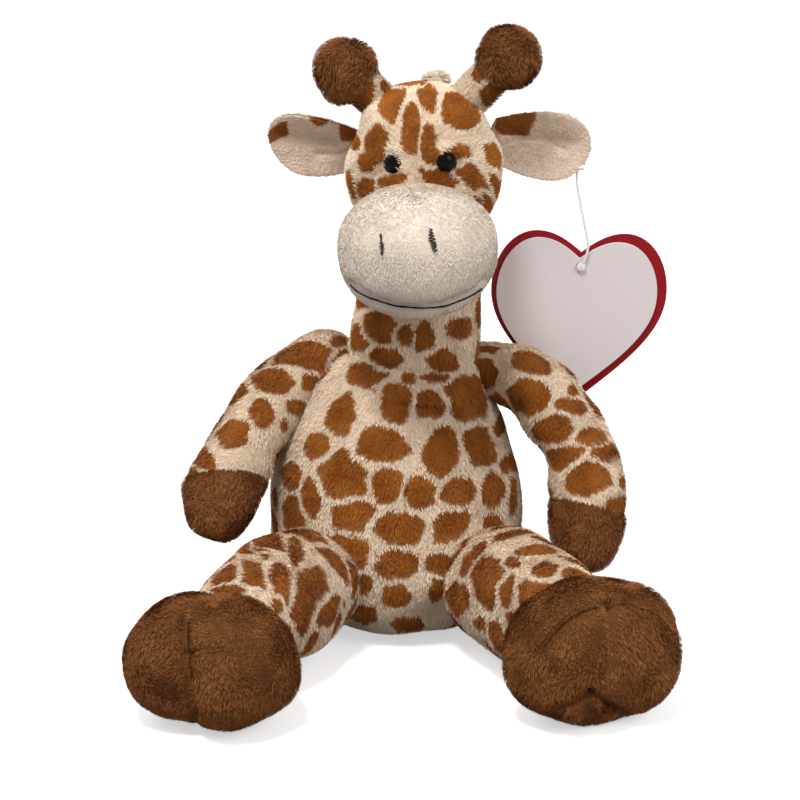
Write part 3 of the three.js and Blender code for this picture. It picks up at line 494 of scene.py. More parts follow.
def press(grid, creases):
    # Each crease is a line of pixels, its depth in millimetres and its half width in pixels
    points = grid.reshape(-1, 3).copy()
    normals = skinNormals(grid)
    seen = seenShare(points, normals)
    pixels = toPixels(points)
    for line, depth, halfWidth in creases:
        near = lineDistance(pixels, line) / halfWidth
        points -= normals * (depth * seen * np.exp(-near ** 2))[:, None]
    return points.reshape(grid.shape)


def ruffle(grid, amount, size, seed):  # the slight unevenness of stuffed cloth
    points = grid.reshape(-1, 3)
    lumps = waves(points, size, seed) * amount
    return (points + skinNormals(grid) * lumps[:, None]).reshape(grid.shape)


# Spots. Those that the photograph shows are boxes of pixels: left, top, right, bottom and a lean in degrees.
spotPicking = {
    "leastFacing": 0.05, "slantCost": 6,  # a box picks the skin's nearest point that faces the view
    "leastShown": 0.5,
    "tries": 2600, "stretchSwing": (0.85, 1.15),
    "everywhere": 2,  # more than any facing, so that a scatter fills the seen side too
}
spotShape = {
    "size": 1.2, "gap": 0.34, "ragged": 0.05, "corner": 7,  # in shares of a spot's half width
    "sides": 5, "turnSwing": 0.2, "reaches": (0.84, 1.0), "soft": 0.05,
    "deep": 9, "raggedSizes": (6, 2.5), "seed": 3,  # how deep a spot reaches, and its edge, in millimetres
}


def seenSpots(grid, boxes):
    points, normals = grid.reshape(-1, 3), skinNormals(grid)
    facing = facingView(points, normals)
    front = facing > spotPicking["leastFacing"]
    points, normals, facing = points[front], normals[front], facing[front]
    pixels = toPixels(points)
    spots = []
    for left, top, right, bottom, *lean in boxes:
        centre = np.array([(left + right) / 2, (top + bottom) / 2])
        at = (np.linalg.norm(pixels - centre, axis=1) + spotPicking["slantCost"] * (1 - facing)).argmin()
        size = pixelSize(points[at:at + 1])[0]
        normal = normals[at]
        turn = math.radians(lean[0]) if lean else 0
        sideway = across * math.cos(turn) + viewUp * math.sin(turn)
        upward = -across * math.sin(turn) + viewUp * math.cos(turn)
        axes = []
        for way, half in ((sideway, (right - left) / 2), (upward, (bottom - top) / 2)):
            flat = way - normal * (way @ normal)
            shown = max(np.linalg.norm(flat), spotPicking["leastShown"])
            axes.append(flat / np.linalg.norm(flat) / (half * size / shown))
        spots.append((points[at], *axes, normal))
    return spots


def hiddenSpots(grid, spots, seed, radius=(5.5, 8.0), gap=1.6, stretch=1.2, grain=None, turnedAway=0.12):
    draw = np.random.default_rng(seed)
    points, normals = grid.reshape(-1, 3), skinNormals(grid)
    facing = facingView(points, normals)
    middles = [spot[0] for spot in spots]
    sizes = [0.5 / np.linalg.norm(spot[1]) + 0.5 / np.linalg.norm(spot[2]) for spot in spots]
    spots = list(spots)
    for at in draw.integers(0, len(points), spotPicking["tries"]):
        if facing[at] > turnedAway:
            continue
        size = draw.uniform(*radius)
        point, normal = points[at], normals[at]
        if middles:
            away = np.linalg.norm(np.array(middles) - point, axis=1)
            if (away < np.array(sizes) + size + gap).any():
                continue
        long = unit(np.cross(normal, draw.normal(size=3) if grain is None else grain))
        wide = np.cross(normal, long)
        reach = stretch * draw.uniform(*spotPicking["stretchSwing"])
        spots.append((point, wide / (size / math.sqrt(reach)), long / (size * math.sqrt(reach)), normal))
        middles.append(point)
        sizes.append(size)
    return spots


def spotReach(x, y, number):  # an uneven outline of five or six sides, which is 1 at its edge
    draw = np.random.default_rng(number)
    sides = spotShape["sides"] + number % 2
    swings = draw.uniform(0, math.pi), draw.uniform(-spotShape["turnSwing"], spotShape["turnSwing"], sides)
    turns = swings[0] + (np.arange(sides) + swings[1]) * 2 * math.pi / sides
    far = draw.uniform(*spotShape["reaches"], sides)
    power = spotShape["corner"]
    total = sum(np.maximum(0, (x * math.cos(turn) + y * math.sin(turn)) / edge) ** power
                for turn, edge in zip(turns, far))
    return total ** (1 / power)


def spotShare(points, spots):  # 1 in a spot, 0 between them, and a gap stays open between neighbours
    if not spots:
        return np.zeros(len(points))
    seed, (coarse, fine) = spotShape["seed"], spotShape["raggedSizes"]
    ragged = spotShape["ragged"] * (waves(points, coarse, seed) + waves(points, fine, seed + 1))
    far = 9.0  # more than any reach that counts
    first, second = np.full((2, len(points)), far)
    for number, (centre, wide, long, normal) in enumerate(spots):
        away = points - centre
        near = np.abs(away @ wide) + np.abs(away @ long) < 4
        reach = np.full(len(points), far)
        outline = spotReach(away[near] @ wide, away[near] @ long, number)
        reach[near] = np.hypot(outline, away[near] @ normal / spotShape["deep"])
        second = np.minimum(second, np.maximum(first, reach))
        first = np.minimum(first, reach)
    edge = np.maximum(first - spotShape["size"], spotShape["gap"] - (second - first)) + ragged
    return smooth(edge, spotShape["soft"], -spotShape["soft"])


# Fur: strands that grow off a skin, lie along its nap and clump together. A strand bends once.
strand = {
    "lengthSpread": (0.72, 1.12), "lengthWave": 0.12, "lengthWaveSize": 7,
    "wayNoise": 0.25, "leanNoise": 7, "leanWaveShare": 0.7,
    "leans": (0.05, 1.35), "mostCurl": 1.55,  # radians
    "lowShare": 0.55, "highShare": 0.45,  # of the length, under and over the bend
    "pullSpread": (0.6, 1.1), "lowPull": 0.45,
    "roll": 0.45, "widthSpread": (0.7, 1.3), "bendWidth": 0.85,
    "shades": (0.55, 0.45),  # a strand's own share and its clump's
    "spotNoise": 0.25, "spotEdge": (0.3, 0.7),
    "hiddenDepth": 3.5, "lowestRoot": 1.0, "lowestTip": 0.05,
    "heights": (0, 0, 0.6, 0.6, 1),  # of a strand's five corners
    "layoutSize": 0.0006,
}


def scatterRoots(grid, perArea, hiddenIn, draw):  # roots, normals and places in the layout
    points, faces, layout = sheetOf(grid)
    normals = skinNormals(grid)
    halves = ([0, 1, 2], [0, 2, 3])
    corners = np.concatenate([faces[:, half] for half in halves])
    layouts = np.concatenate([layout[:, half] for half in halves])
    a, b, c = (points[corners[:, corner]] for corner in range(3))
    area = np.linalg.norm(np.cross(b - a, c - a), axis=1) / 2
    count = int(area.sum() * perArea)
    picked = np.searchsorted(np.cumsum(area) / area.sum(), draw.random(count))
    picked = np.minimum(picked, len(area) - 1)
    shares = draw.random((count, 2))
    folded = shares.sum(1) > 1
    shares[folded] = 1 - shares[folded]
    shares = np.column_stack([1 - shares.sum(1), shares])
    roots, normal, place = (np.einsum("ij,ijk->ik", shares, values)
                            for values in (points[corners[picked]], normals[corners[picked]], layouts[picked]))
    keep = roots[:, 2] > strand["lowestRoot"]
    for depth in hiddenIn:
        keep &= depth(roots) < strand["hiddenDepth"]
    return roots[keep], unit(normal)[keep], place[keep]


def growFur(grid, fur, seed, nap, spots, hiddenIn, shorten):
    draw = np.random.default_rng(seed)
    roots, normal, layout = scatterRoots(grid, fur["perArea"], hiddenIn, draw)
    count = len(roots)
    way = nap(roots, normal)
    way = way - normal * np.sum(way * normal, 1)[:, None]
    swirl = np.cross(normal, waveVectors(roots, fur["swirlSize"], seed + 11))
    way = unit(unit(way) + fur["swirl"] * swirl + strand["wayNoise"] * draw.normal(size=(count, 3)))
    way = unit(way - normal * np.sum(way * normal, 1)[:, None])
    lengthWave = strand["lengthWave"] * waves(roots, strand["lengthWaveSize"], seed + 5)
    length = fur["length"] * draw.uniform(*strand["lengthSpread"], count) * (1 + lengthWave)
    if shorten is not None:
        length *= shorten(roots)
    leanWave = fur["leanSwing"] * waves(roots, fur["swirlSize"] * strand["leanWaveShare"], seed + 7)
    lean = np.radians(fur["lean"] + leanWave + draw.normal(0, strand["leanNoise"], count))
    lean = np.clip(lean, *strand["leans"])
    curl = np.clip(lean + math.radians(fur["curl"]), 0, strand["mostCurl"])
    low, high = ((normal * np.cos(angle)[:, None] + way * np.sin(angle)[:, None]) for angle in (lean, curl))
    bends = roots + low * (length * strand["lowShare"])[:, None]
    tips = bends + high * (length * strand["highShare"])[:, None]
    # each clump draws its strands towards one of them
    leaders = draw.choice(count, max(1, int(count / fur["clumpSize"])), replace=False)
    tree = kdtree.KDTree(len(leaders))
    for number, at in enumerate(leaders):
        tree.insert(roots[at], number)
    tree.balance()
    leader = leaders[np.array([tree.find(root)[1] for root in roots])]
    pull = fur["clump"] * draw.uniform(*strand["pullSpread"], count)[:, None]
    tips += (tips[leader] - tips) * pull
    bends += (bends[leader] - bends) * pull * strand["lowPull"]
    side = unit(np.cross(normal, way))
    roll = draw.normal(0, strand["roll"], count)[:, None]
    side = unit(side * np.cos(roll) + normal * np.sin(roll))
    half = side * (fur["width"] / 2 * draw.uniform(*strand["widthSpread"], count))[:, None]
    narrow = half * strand["bendWidth"]
    verts = np.stack([roots - half, roots + half, bends - narrow, bends + narrow, tips], 1)
    verts[:, :, 2] = np.maximum(verts[:, :, 2], strand["lowestTip"])
    spot = spotShare(roots + draw.normal(0, strand["spotNoise"], (count, 3)), spots)
    spot = (spot > draw.uniform(*strand["spotEdge"], count)).astype(float)
    clumpShade = draw.random(count)[leader]
    ownShare, clumpShare = strand["shades"]
    shade = np.clip(ownShare * draw.random(count) + clumpShare * clumpShade, 0, 1)
    return {"verts": verts, "roots": roots, "layout": layout, "spot": spot, "shade": shade}


def onlyStrands(fur, kept):
    return {label: values[kept] for label, values in fur.items()}


def buildMesh(name, grid, fur, spots, showing):
    points, faces, layout = sheetOf(grid)
    kept = showing(points[faces].mean(1))
    faces, layout = faces[kept], layout[kept]
    strands = len(fur["roots"])
    corners = len(strand["heights"])
    base = len(points) + corners * np.arange(strands)
    lower = np.stack([base, base + 1, base + 3, base + 2], 1)
    upper = np.stack([base + 2, base + 3, base + 4], 1)
    loops = np.concatenate([faces.ravel(), lower.ravel(), upper.ravel()])
    sizes = np.repeat([4, 4, 3], [len(faces), strands, strands])
    verts = np.vstack([points, fur["verts"].reshape(-1, 3)])
    mesh = bpy.data.meshes.new(name)
    mesh.vertices.add(len(verts))
    mesh.vertices.foreach_set("co", (verts * mm).ravel())
    mesh.loops.add(len(loops))
    mesh.loops.foreach_set("vertex_index", loops.astype(np.int32))
    mesh.polygons.add(len(sizes))
    mesh.polygons.foreach_set("loop_start", (np.cumsum(sizes) - sizes).astype(np.int32))
    parts = [layout.reshape(-1, 2)]
    for steps in (((0, 0), (1, 0), (1, 1), (0, 1)), ((0, 1), (1, 1), (0.5, 2))):
        parts.append((fur["layout"][:, None] + strand["layoutSize"] * np.array(steps)).reshape(-1, 2))
    uv = np.clip(np.vstack(parts), 0, 1).ravel().astype(np.float32)
    mesh.uv_layers.new(name="OFBake").data.foreach_set("uv", uv)
    mesh.update(calc_edges=True)
    mesh.validate()
    mesh.polygons.foreach_set("use_smooth", np.ones(len(mesh.polygons), bool))
    rootPlace = np.vstack([points, np.repeat(fur["roots"], corners, 0)])
    mesh.attributes.new("furRoot", "FLOAT_VECTOR", "POINT").data.foreach_set("vector", rootPlace.ravel())
    skinShade = np.full(len(points), 0.3)
    for label, ofSkin, ofStrands in (
        ("spot", spotShare(points, spots), np.repeat(fur["spot"], corners)),
        ("strandShade", skinShade, np.repeat(fur["shade"], corners)),
        ("strandHeight", np.zeros(len(points)), np.tile(strand["heights"], strands)),
    ):
        values = np.concatenate([ofSkin, ofStrands])
        mesh.attributes.new(label, "FLOAT", "POINT").data.foreach_set("value", values)
    return mesh


def place(name, mesh, body, slot, nodes):
    piece = bpy.data.objects.new(name, mesh)
    bpy.context.scene.collection.objects.link(piece)
    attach(piece, body)
    if nodes:
        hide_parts(*nodes)
    return piece


def everywhere(points):
    return np.ones(len(points), bool)


lowestSkin = 0.3  # over the floor


def makeSkin(name, grid, body, slot, nodes, fur, seed, nap, spots=(), hiddenIn=(), shorten=None,
             panels=None, deep=9, finish=None):
    grid[:, :, 2] = np.maximum(grid[:, :, 2], lowestSkin)
    strands = growFur(grid, fur, seed, nap, spots, hiddenIn, shorten)
    for label, inPanel in (panels or {name: everywhere}).items():

        def showing(middles):
            kept = inPanel(middles)
            for depth in hiddenIn:
                kept &= depth(middles) < deep
            return kept

        mesh = buildMesh(label, grid, onlyStrands(strands, inPanel(strands["roots"])), spots, showing)
        mesh.materials.append(finishes[finish or slot])
        piece = place(label, mesh, body, slot, nodes)
        print(label, len(mesh.polygons), "faces")


def nearCreases(creases, least=0.4):  # the pile is short along a seam
    def shorten(roots):
        pixels = toPixels(roots)
        share = np.ones(len(roots))
        for line, _, halfWidth in creases:
            clear = smooth(lineDistance(pixels, line) / halfWidth, 0.25, 1.1)
            share = np.minimum(share, least + (1 - least) * clear)
        return share
    return shorten


def towards(way):
    way = np.array(way, float)
    return lambda roots, normals: np.tile(way, (len(roots), 1))


spottedFur = {
    "perArea": 5.3, "length": 1.65, "width": 0.25, "lean": 49, "curl": 20, "swirl": 0.32, "swirlSize": 10,
    "clump": 0.13, "clumpSize": 8, "leanSwing": 6,
}
creamFur = {
    **spottedFur, "perArea": 6.6, "width": 0.22, "length": 0.95, "lean": 60, "curl": 8, "clump": 0.08, "swirl": 0.25,
    "leanSwing": 4,
}
brownFur = {
    "perArea": 5.6, "length": 1.8, "width": 0.21, "lean": 40, "curl": 26, "swirl": 0.8, "swirlSize": 8,
    "clump": 0.22, "clumpSize": 9, "leanSwing": 8,
}
pileDepth = 1.0  # the skin lies this deep, so that the strands' ends come out where the frame's surface is
brownPileDepth = 1.35

collar = ([(352, 352), (380, 366), (420, 372), (447, 370), (462, 360)], 1.3, 5)  # the seam under the neck

# Body. A piece's mesh is its sides and rings, and its ruffle the height, size and seed of its unevenness.
torso = {
    "mesh": (150, 110), "ruffle": (0.7, 16, 41), "seed": 42,
    "halfWidth": 46, "halfDepth": 38, "above": 69, "below": 38.5, "blunt": 0.96, "bluntBelow": 0.7,
    "middle": (-1.5, -6, 38),
    "creases": [
        collar,
        ([(408, 378), (410, 420), (408, 470), (406, 500), (410, 560), (420, 620)], 0.6, 3.5),
        ([(405, 492), (406, 514)], 1.4, 4),
    ],
    "spots": [
        (350, 361, 383, 384), (365, 348, 397, 370), (329, 394, 356, 430, -15), (306, 431, 332, 457),
        (358, 427, 402, 459), (383, 388, 412, 423), (402, 370, 416, 382), (321, 453, 368, 495),
        (370, 467, 400, 500), (281, 460, 301, 488), (300, 477, 319, 516), (282, 496, 306, 531),
        (334, 501, 373, 532), (374, 513, 428, 543, -10), (322, 536, 367, 572), (300, 548, 326, 570),
        (272, 488, 279, 509), (430, 350, 460, 371), (420, 370, 449, 380), (455, 376, 490, 420, 20),
        (415, 389, 446, 416), (424, 427, 457, 473, -12), (466, 424, 492, 464), (500, 406, 510, 432),
        (506, 443, 520, 467), (409, 475, 438, 506), (447, 479, 476, 505), (481, 470, 504, 505),
        (508, 475, 517, 511), (427, 513, 473, 539, 25), (485, 513, 505, 549), (512, 530, 521, 544),
        (427, 552, 453, 571), (460, 539, 484, 578), (431, 580, 448, 600), (376, 547, 418, 573),
        (384, 584, 410, 606), (345, 574, 368, 594), (352, 604, 378, 622), (396, 616, 424, 632),
        (458, 592, 474, 616),
    ],
}
torsoPlace = shiftMatrix(*torso["middle"])


def inFront(points):
    return points[:, 1] < torso["middle"][1]


def onLeft(points):
    return points[:, 0] > torso["middle"][0]


def inBall(form, matrix):
    home = np.linalg.inv(matrix)
    return lambda points: ballDepth(moved(points, home), form)


def inLimb(form):
    return lambda points: limbDepth(points, form)


neck = {
    "base": (4, -6, 96), "top": (9, -2, 142), "radii": (23.5, 23.5, 21, 21), "blunt": 8,
    "runShares": (-0.5, 0, 1, 1.5), "shownShares": (0.16, 0.86),
    "flare": 2.2, "flareTop": 101, "flareHeight": 12,  # the collar flares where it is sewn to the body
    "mesh": (100, 60), "ruffle": (0.5, 12, 51), "seed": 52,
    "spots": [
        (362, 310, 391, 338), (396, 325, 414, 345), (417, 321, 437, 350), (449, 316, 474, 337),
        (350, 323, 366, 348), (365, 348, 397, 370), (402, 370, 416, 382), (430, 350, 460, 371),
        (420, 372, 449, 382), (415, 389, 446, 416), (383, 388, 412, 423), (350, 361, 383, 384),
        (455, 376, 490, 420, 20),
    ],
    "coveredSpots": [  # behind the muzzle, and seen when the head turns
        (352, 276, 372, 306), (381, 270, 405, 300), (413, 274, 438, 306), (447, 272, 468, 300),
        (364, 238, 386, 263), (396, 232, 420, 262), (429, 236, 452, 264), (461, 236, 478, 260),
    ],
}
neckBase, neckTop = np.array(neck["base"], float), np.array(neck["top"], float)
neckForm = {
    "path": [neckBase + (neckTop - neckBase) * share for share in neck["runShares"]],
    "radii": neck["radii"], "blunt": neck["blunt"], "reference": back,
}
inTorso = inBall(torso, torsoPlace)
inNeck = inLimb(neckForm)

# Head, in its own frame: its origin is the middle of its seat on the neck
head = {
    "halfWidth": 28.6, "halfDepth": 29, "above": 28.5, "below": 31, "blunt": 0.95,
    "widestHeight": 27.5, "turn": -5.5, "roll": -1.5,
    "templePinch": 0.12, "templeHeight": 12, "templeSize": 9,  # how far the sides draw in above the eyes
    "noseTip": (0, -40, 20),
    "mesh": (140, 100), "ruffle": (0.4, 12, 61), "seed": 62,
    "creases": [
        ([(424, 76), (420, 110), (418, 150), (417, 172)], 1.0, 3.2),
        ([(372, 178), (385, 172), (398, 174)], 0.9, 5),
    ],
    "brows": [
        ([(381, 157), (387, 150), (396, 149), (402, 154)], -1.1, 4),
        ([(433, 157), (440, 149), (450, 148), (458, 153)], -1.1, 4),
    ],
    "spots": [
        (383, 80, 401, 117, -28), (419, 79, 435, 112), (401, 104, 420, 151), (419, 125, 435, 167, 8),
        (445, 93, 477, 129), (360, 127, 386, 170, -28), (484, 144, 502, 168, 20),
        (450, 146, 473, 158, 12), (422, 171, 455, 191, -22), (379, 176, 406, 188, 12),
        (460, 171, 488, 189, -30), (346, 172, 357, 198, 15),
        (358, 180, 372, 198, -40), (493, 178, 501, 203, 8), (470, 198, 478, 209),
        (484, 199, 491, 222), (343, 128, 352, 150),
    ],
}
headPlace = shiftMatrix(*neck["top"]) @ turnMatrix((0, 1, 0), head["roll"]) @ turnMatrix((0, 0, 1), head["turn"])
skullPlace = headPlace @ shiftMatrix(0, 0, head["widestHeight"])
muzzle = {
    "halfWidth": 28, "halfDepth": 27, "above": 21.5, "below": 24.5, "blunt": 0.92,
    "widestHeight": 8, "forward": 41, "shiftX": 1,
    "mesh": (130, 96), "ruffle": (0.35, 14, 71), "seed": 72,
    "mouth": [(362, 293), (378, 300), (400, 306), (421, 307), (444, 305), (464, 298), (478, 290)],
    "mouthEnds": ((352, 285), (485, 282)),  # of the stitches
    "creaseEnds": ((350, 282), (487, 280)),
    "mouthCrease": (1.6, 4), "lip": (1.5, 8, 11),  # the lip's swelling: its height, size and drop
    "mouthPile": (0.45, 1.5, 5),  # the pile's share of its length on the stitches, and where it grows
    "noseCrease": ([(410, 190), (409, 230)], 0.5, 6),
}
muzzlePlace = headPlace @ shiftMatrix(muzzle["shiftX"], -muzzle["forward"], muzzle["widestHeight"])
inHead = inBall(head, skullPlace)
inMuzzle = inBall(muzzle, muzzlePlace)

# Limbs
arms = {
    "radii": (11, 12, 13.4, 13, 15.4, 15.4), "blunt": 3.2, "shoulderShares": (-0.28, 0, 0.09),
    "sides": 84, "armRings": 90, "handRings": 60, "ruffle": (0.5, 11),
    "seamSize": 14, "tuck": 0.9, "tuckSize": 1.6,  # how far the wrist seam's slant reaches, and its tuck
    "left": {
        "side": 1, "root": (28, 1, 93), "reach": 37, "forward": 33, "drop": 66, "wristShare": 0.76,
        "pathShares": [(0, 0, 0), (0.46, 0.2, 0.04), (0.8, 0.37, 0.23), (1.02, 0.56, 0.47), (1, 1, 1)],
        "spots": [
            (476, 345, 497, 352), (461, 360, 497, 387), (505, 379, 549, 413), (511, 351, 552, 372, -25),
            (567, 384, 577, 395), (555, 398, 592, 413, -12), (534, 414, 575, 444), (575, 428, 608, 445),
            (545, 442, 577, 469), (595, 444, 621, 463), (568, 463, 604, 494), (621, 474, 631, 487),
            (614, 495, 633, 520),
        ],
        "handCreases": [([(562, 530), (580, 524), (596, 530)], 1.0, 6)],
        "seamShift": 1.0, "seamTilt": 0.2,
        "seed": 210,
    },
    "right": {
        "side": -1, "root": (26, 1, 98), "reach": 40, "forward": 44, "drop": 54, "wristShare": 0.74,
        "pathShares": [(0, 0, 0), (0.3, 0.16, 0.14), (0.6, 0.38, 0.37), (0.84, 0.62, 0.62), (1, 1, 1)],
        "spots": [
            (272, 342, 327, 364, 8), (250, 369, 290, 392), (328, 351, 356, 369), (331, 335, 347, 346),
            (304, 374, 319, 391), (250, 400, 274, 426), (288, 400, 306, 414), (281, 418, 288, 430),
            (218, 420, 248, 447), (190, 445, 212, 470), (183, 472, 207, 490),
        ],
        "handCreases": [([(190, 500), (205, 495), (222, 500)], 1.0, 6)],
        "seamShift": 1.2, "seamTilt": -0.33,
        "seed": 230,
    },
}
legs = {
    "hip": (24, -15, 23.5), "ankleHeight": 28.5, "radii": (22, 22, 18), "blunt": 3,
    "sides": 96, "rings": 96, "ruffle": (0.6, 12), "pile": 1.6,
    "left": {
        "side": 1, "foot": (64.5, -93), "above": 28, "seed": 310,
        "spots": [
            (471, 558, 496, 600, -20), (497, 574, 511, 606, -10), (533, 561, 560, 577, 10),
            (503, 556, 520, 566), (519, 580, 552, 603, 20), (506, 610, 516, 624),
            (446, 580, 470, 612, -25), (475, 616, 488, 628),
        ],
        "creases": [
            ([(610, 599), (590, 604), (570, 613), (550, 631), (536, 652)], 2.2, 4.5),
            ([(610, 599), (634, 600), (662, 611), (679, 630)], 2.2, 4.5),
            ([(610, 602), (611, 625), (611, 650), (607, 672)], 3.0, 6.5),
            ([(590, 704), (589, 714)], 2.6, 11),
            ([(592, 690), (576, 701), (560, 708)], 2.6, 5),
            ([(592, 690), (607, 702), (620, 711)], 2.6, 5),
            ([(609, 599), (611, 600)], 2.2, 5),
        ],
    },
    "right": {
        "side": -1, "foot": (63, -98), "above": 23.5, "seed": 330,
        "spots": [
            (252, 528, 281, 549, -20), (268, 550, 288, 598, 26), (236, 551, 268, 592, 30),
            (209, 563, 246, 583, 20), (209, 584, 256, 597, 5), (287, 538, 301, 564, 12),
            (298, 568, 327, 623, -8), (274, 597, 285, 613), (314, 594, 342, 625, -25), (230, 534, 251, 546),
        ],
        "creases": [
            ([(184, 612), (182, 635), (181, 652), (186, 690), (197, 722)], 3.2, 5),
            ([(183, 655), (200, 649), (222, 647)], 1.8, 5),
        ],
    },
}
feet = {
    "halfWidth": 31, "halfDepth": 25, "below": 21.5, "blunt": 0.88, "turn": 18, "sitDepth": 0.5,
    "mesh": (150, 100), "cleftDepth": 5, "cleftHalfWidth": 9, "cleftShift": 5,
}
sideNames = ("left", "right")


def armForm(arm):
    side, (x, y, z) = arm["side"], arm["root"]
    path = [(side * (x + out * arm["reach"]), y - front * arm["forward"], z - down * arm["drop"])
            for out, front, down in [arms["shoulderShares"]] + arm["pathShares"]]
    return {"path": path, "radii": arms["radii"], "blunt": arms["blunt"], "reference": back}


def legForm(leg):
    hip = np.array(legs["hip"], float) * [leg["side"], 1, 1]
    ankle = np.array([leg["side"] * leg["foot"][0], leg["foot"][1], legs["ankleHeight"]])
    path = [hip, (hip + ankle) / 2, ankle]
    return {"path": path, "radii": legs["radii"], "blunt": legs["blunt"], "reference": up}


def footForm(leg):
    return {**feet, "above": leg["above"]}


def footPlace(leg):
    spot = (leg["side"] * leg["foot"][0], leg["foot"][1], feet["below"] - feet["sitDepth"])
    return shiftMatrix(*spot) @ turnMatrix((0, 0, 1), leg["side"] * feet["turn"])


inArm = {name: inLimb(armForm(arms[name])) for name in sideNames}
inLeg = {name: inLimb(legForm(legs[name])) for name in sideNames}
inFoot = {name: inBall(footForm(legs[name]), footPlace(legs[name])) for name in sideNames}


def makeTorso():
    grid = moved(ballGrid(torso, pileDepth, *torso["mesh"]), torsoPlace)
    grid = press(ruffle(grid, *torso["ruffle"]), torso["creases"])
    spots = hiddenSpots(grid, seenSpots(grid, torso["spots"]), torso["seed"], stretch=1.25)
    hidden = [inArm["left"], inArm["right"], inLeg["left"], inLeg["right"], inNeck]
    panels = {
        "torso_front_right": lambda points: inFront(points) & ~onLeft(points),
        "torso_front_left": lambda points: inFront(points) & onLeft(points),
        "torso_back_right": lambda points: ~inFront(points) & ~onLeft(points),
        "torso_back_left": lambda points: ~inFront(points) & onLeft(points),
    }
    makeSkin("torso", grid, "torso", "spotted_plush", ["torso_skin", "torso_stuffing", "pellet_pouch"],
             spottedFur, torso["seed"] + 1, towards((0, -0.15, -1)), spots, hidden,
             shorten=nearCreases(torso["creases"]), panels=panels)


def makeNeck():
    sides, rings = neck["mesh"]
    grid = limbGrid(neckForm, np.linspace(*neck["shownShares"], rings), pileDepth, sides)
    flare = neck["flare"] * smooth(grid[:, :, 2], neck["flareTop"], neck["flareTop"] - neck["flareHeight"])
    grid = grid + skinNormals(grid).reshape(grid.shape) * flare[:, :, None]
    grid = press(ruffle(grid, *neck["ruffle"]), [collar])
    spots = hiddenSpots(grid, seenSpots(grid, neck["spots"] + neck["coveredSpots"]), neck["seed"])
    makeSkin("neck_cloth", grid, "neck", "spotted_plush", ["neck_skin", "neck_stuffing"], spottedFur,
             neck["seed"] + 1, towards((0, -0.1, -1)), spots, [inTorso, inHead, inMuzzle])


eyes = {
    "radius": 4.3, "dome": 3.2, "spread": 9.6, "shiftX": 1, "height": 33.5, "seatLift": -3.0,
    "shankRadius": 1.3, "shankLength": 10, "edge": ((0.25, 0.4), (0, 0.15)),  # the rim's corners
    "arcSteps": 16, "sides": 48, "poleRadius": 0.01,
    "napGap": 0.6, "napSize": 1.3, "napPull": 3,  # the pile leans over an eye's rim
}


def onBall(form, around, upwards, lift=0):  # a point of a ball's surface, or over it
    height = np.sin(upwards)
    out = np.cos(upwards) ** form["blunt"]
    tall = form["below"] if height < 0 else form["above"]
    return np.array([(form["halfWidth"] + lift) * out * math.sin(around),
                     -(form["halfDepth"] + lift) * out * math.cos(around),
                     (tall + lift) * math.copysign(abs(height) ** form["blunt"], height)])


def eyeMatrix(side):
    upwards = math.asin((eyes["height"] - head["widestHeight"]) / head["above"])
    around = math.asin((eyes["shiftX"] + side * eyes["spread"]) / (head["halfWidth"] * math.cos(upwards)))
    seat = onBall(head, around, upwards, eyes["seatLift"])
    facing = unit(onBall(head, around, upwards, eyes["dome"] + eyes["radius"]) - seat)
    turn = Vector((0, 0, 1)).rotation_difference(Vector(facing)).to_matrix().to_4x4()
    return skullPlace @ shiftMatrix(*seat) @ np.array(turn)


def makeHead():
    local = ballGrid(head, pileDepth, *head["mesh"])
    fromTemple = (local[:, :, 2] - head["templeHeight"]) / head["templeSize"]
    local[:, :, 0] *= 1 - head["templePinch"] * np.exp(-fromTemple ** 2)
    grid = press(ruffle(moved(local, skullPlace), *head["ruffle"]), head["creases"] + head["brows"])
    spots = hiddenSpots(grid, seenSpots(grid, head["spots"]), head["seed"])
    nose = moved(np.array([head["noseTip"]], float), headPlace)[0]
    sockets = [eyeMatrix(side)[:3, 3] for side in (1, -1)]

    def nap(roots, normals):  # away from the nose, and over the rims of the eyes
        way = unit(roots - nose)
        for socket in sockets:
            inwards = socket - roots
            fromRim = np.linalg.norm(inwards, axis=1) - eyes["radius"] - eyes["napGap"]
            rim = np.exp(-(fromRim / eyes["napSize"]) ** 2)
            way += unit(inwards) * (eyes["napPull"] * rim)[:, None]
        return way

    nodes = ["head_skin", "head_stuffing", "eye_washer_left", "eye_washer_right"]
    makeSkin("head_cloth", grid, "head", "spotted_plush", nodes, spottedFur, head["seed"] + 1, nap, spots,
             [inMuzzle, inNeck], nearCreases(head["creases"]))


def mouthThrough(ends):
    return [ends[0], *muzzle["mouth"], ends[1]]


def makeMuzzle():
    grid = moved(ballGrid(muzzle, pileDepth, *muzzle["mesh"]), muzzlePlace)
    points, normals = grid.reshape(-1, 3), skinNormals(grid)
    line = np.array(mouthThrough(muzzle["mouthEnds"]), float)
    height, size, drop = muzzle["lip"]
    below = lineDistance(toPixels(points), line + [0, drop]) / size
    points = points + normals * (height * seenShare(points, normals) * np.exp(-below ** 2))[:, None]
    creases = [(mouthThrough(muzzle["creaseEnds"]), *muzzle["mouthCrease"]), muzzle["noseCrease"]]
    grid = press(ruffle(points.reshape(grid.shape), *muzzle["ruffle"]), creases)
    least, near, far = muzzle["mouthPile"]

    def shorten(roots):
        return least + (1 - least) * smooth(lineDistance(toPixels(roots), line), near, far)

    makeSkin("muzzle_cloth", grid, "head", "cream_plush", ["muzzle", "muzzle_stuffing"], creamFur,
             muzzle["seed"] + 1, towards((0, -0.5, -1)), (), [inHead, inNeck], shorten)
    return grid


snap = {"leastFacing": 0.02, "neighbours": 4, "soft": 0.3}


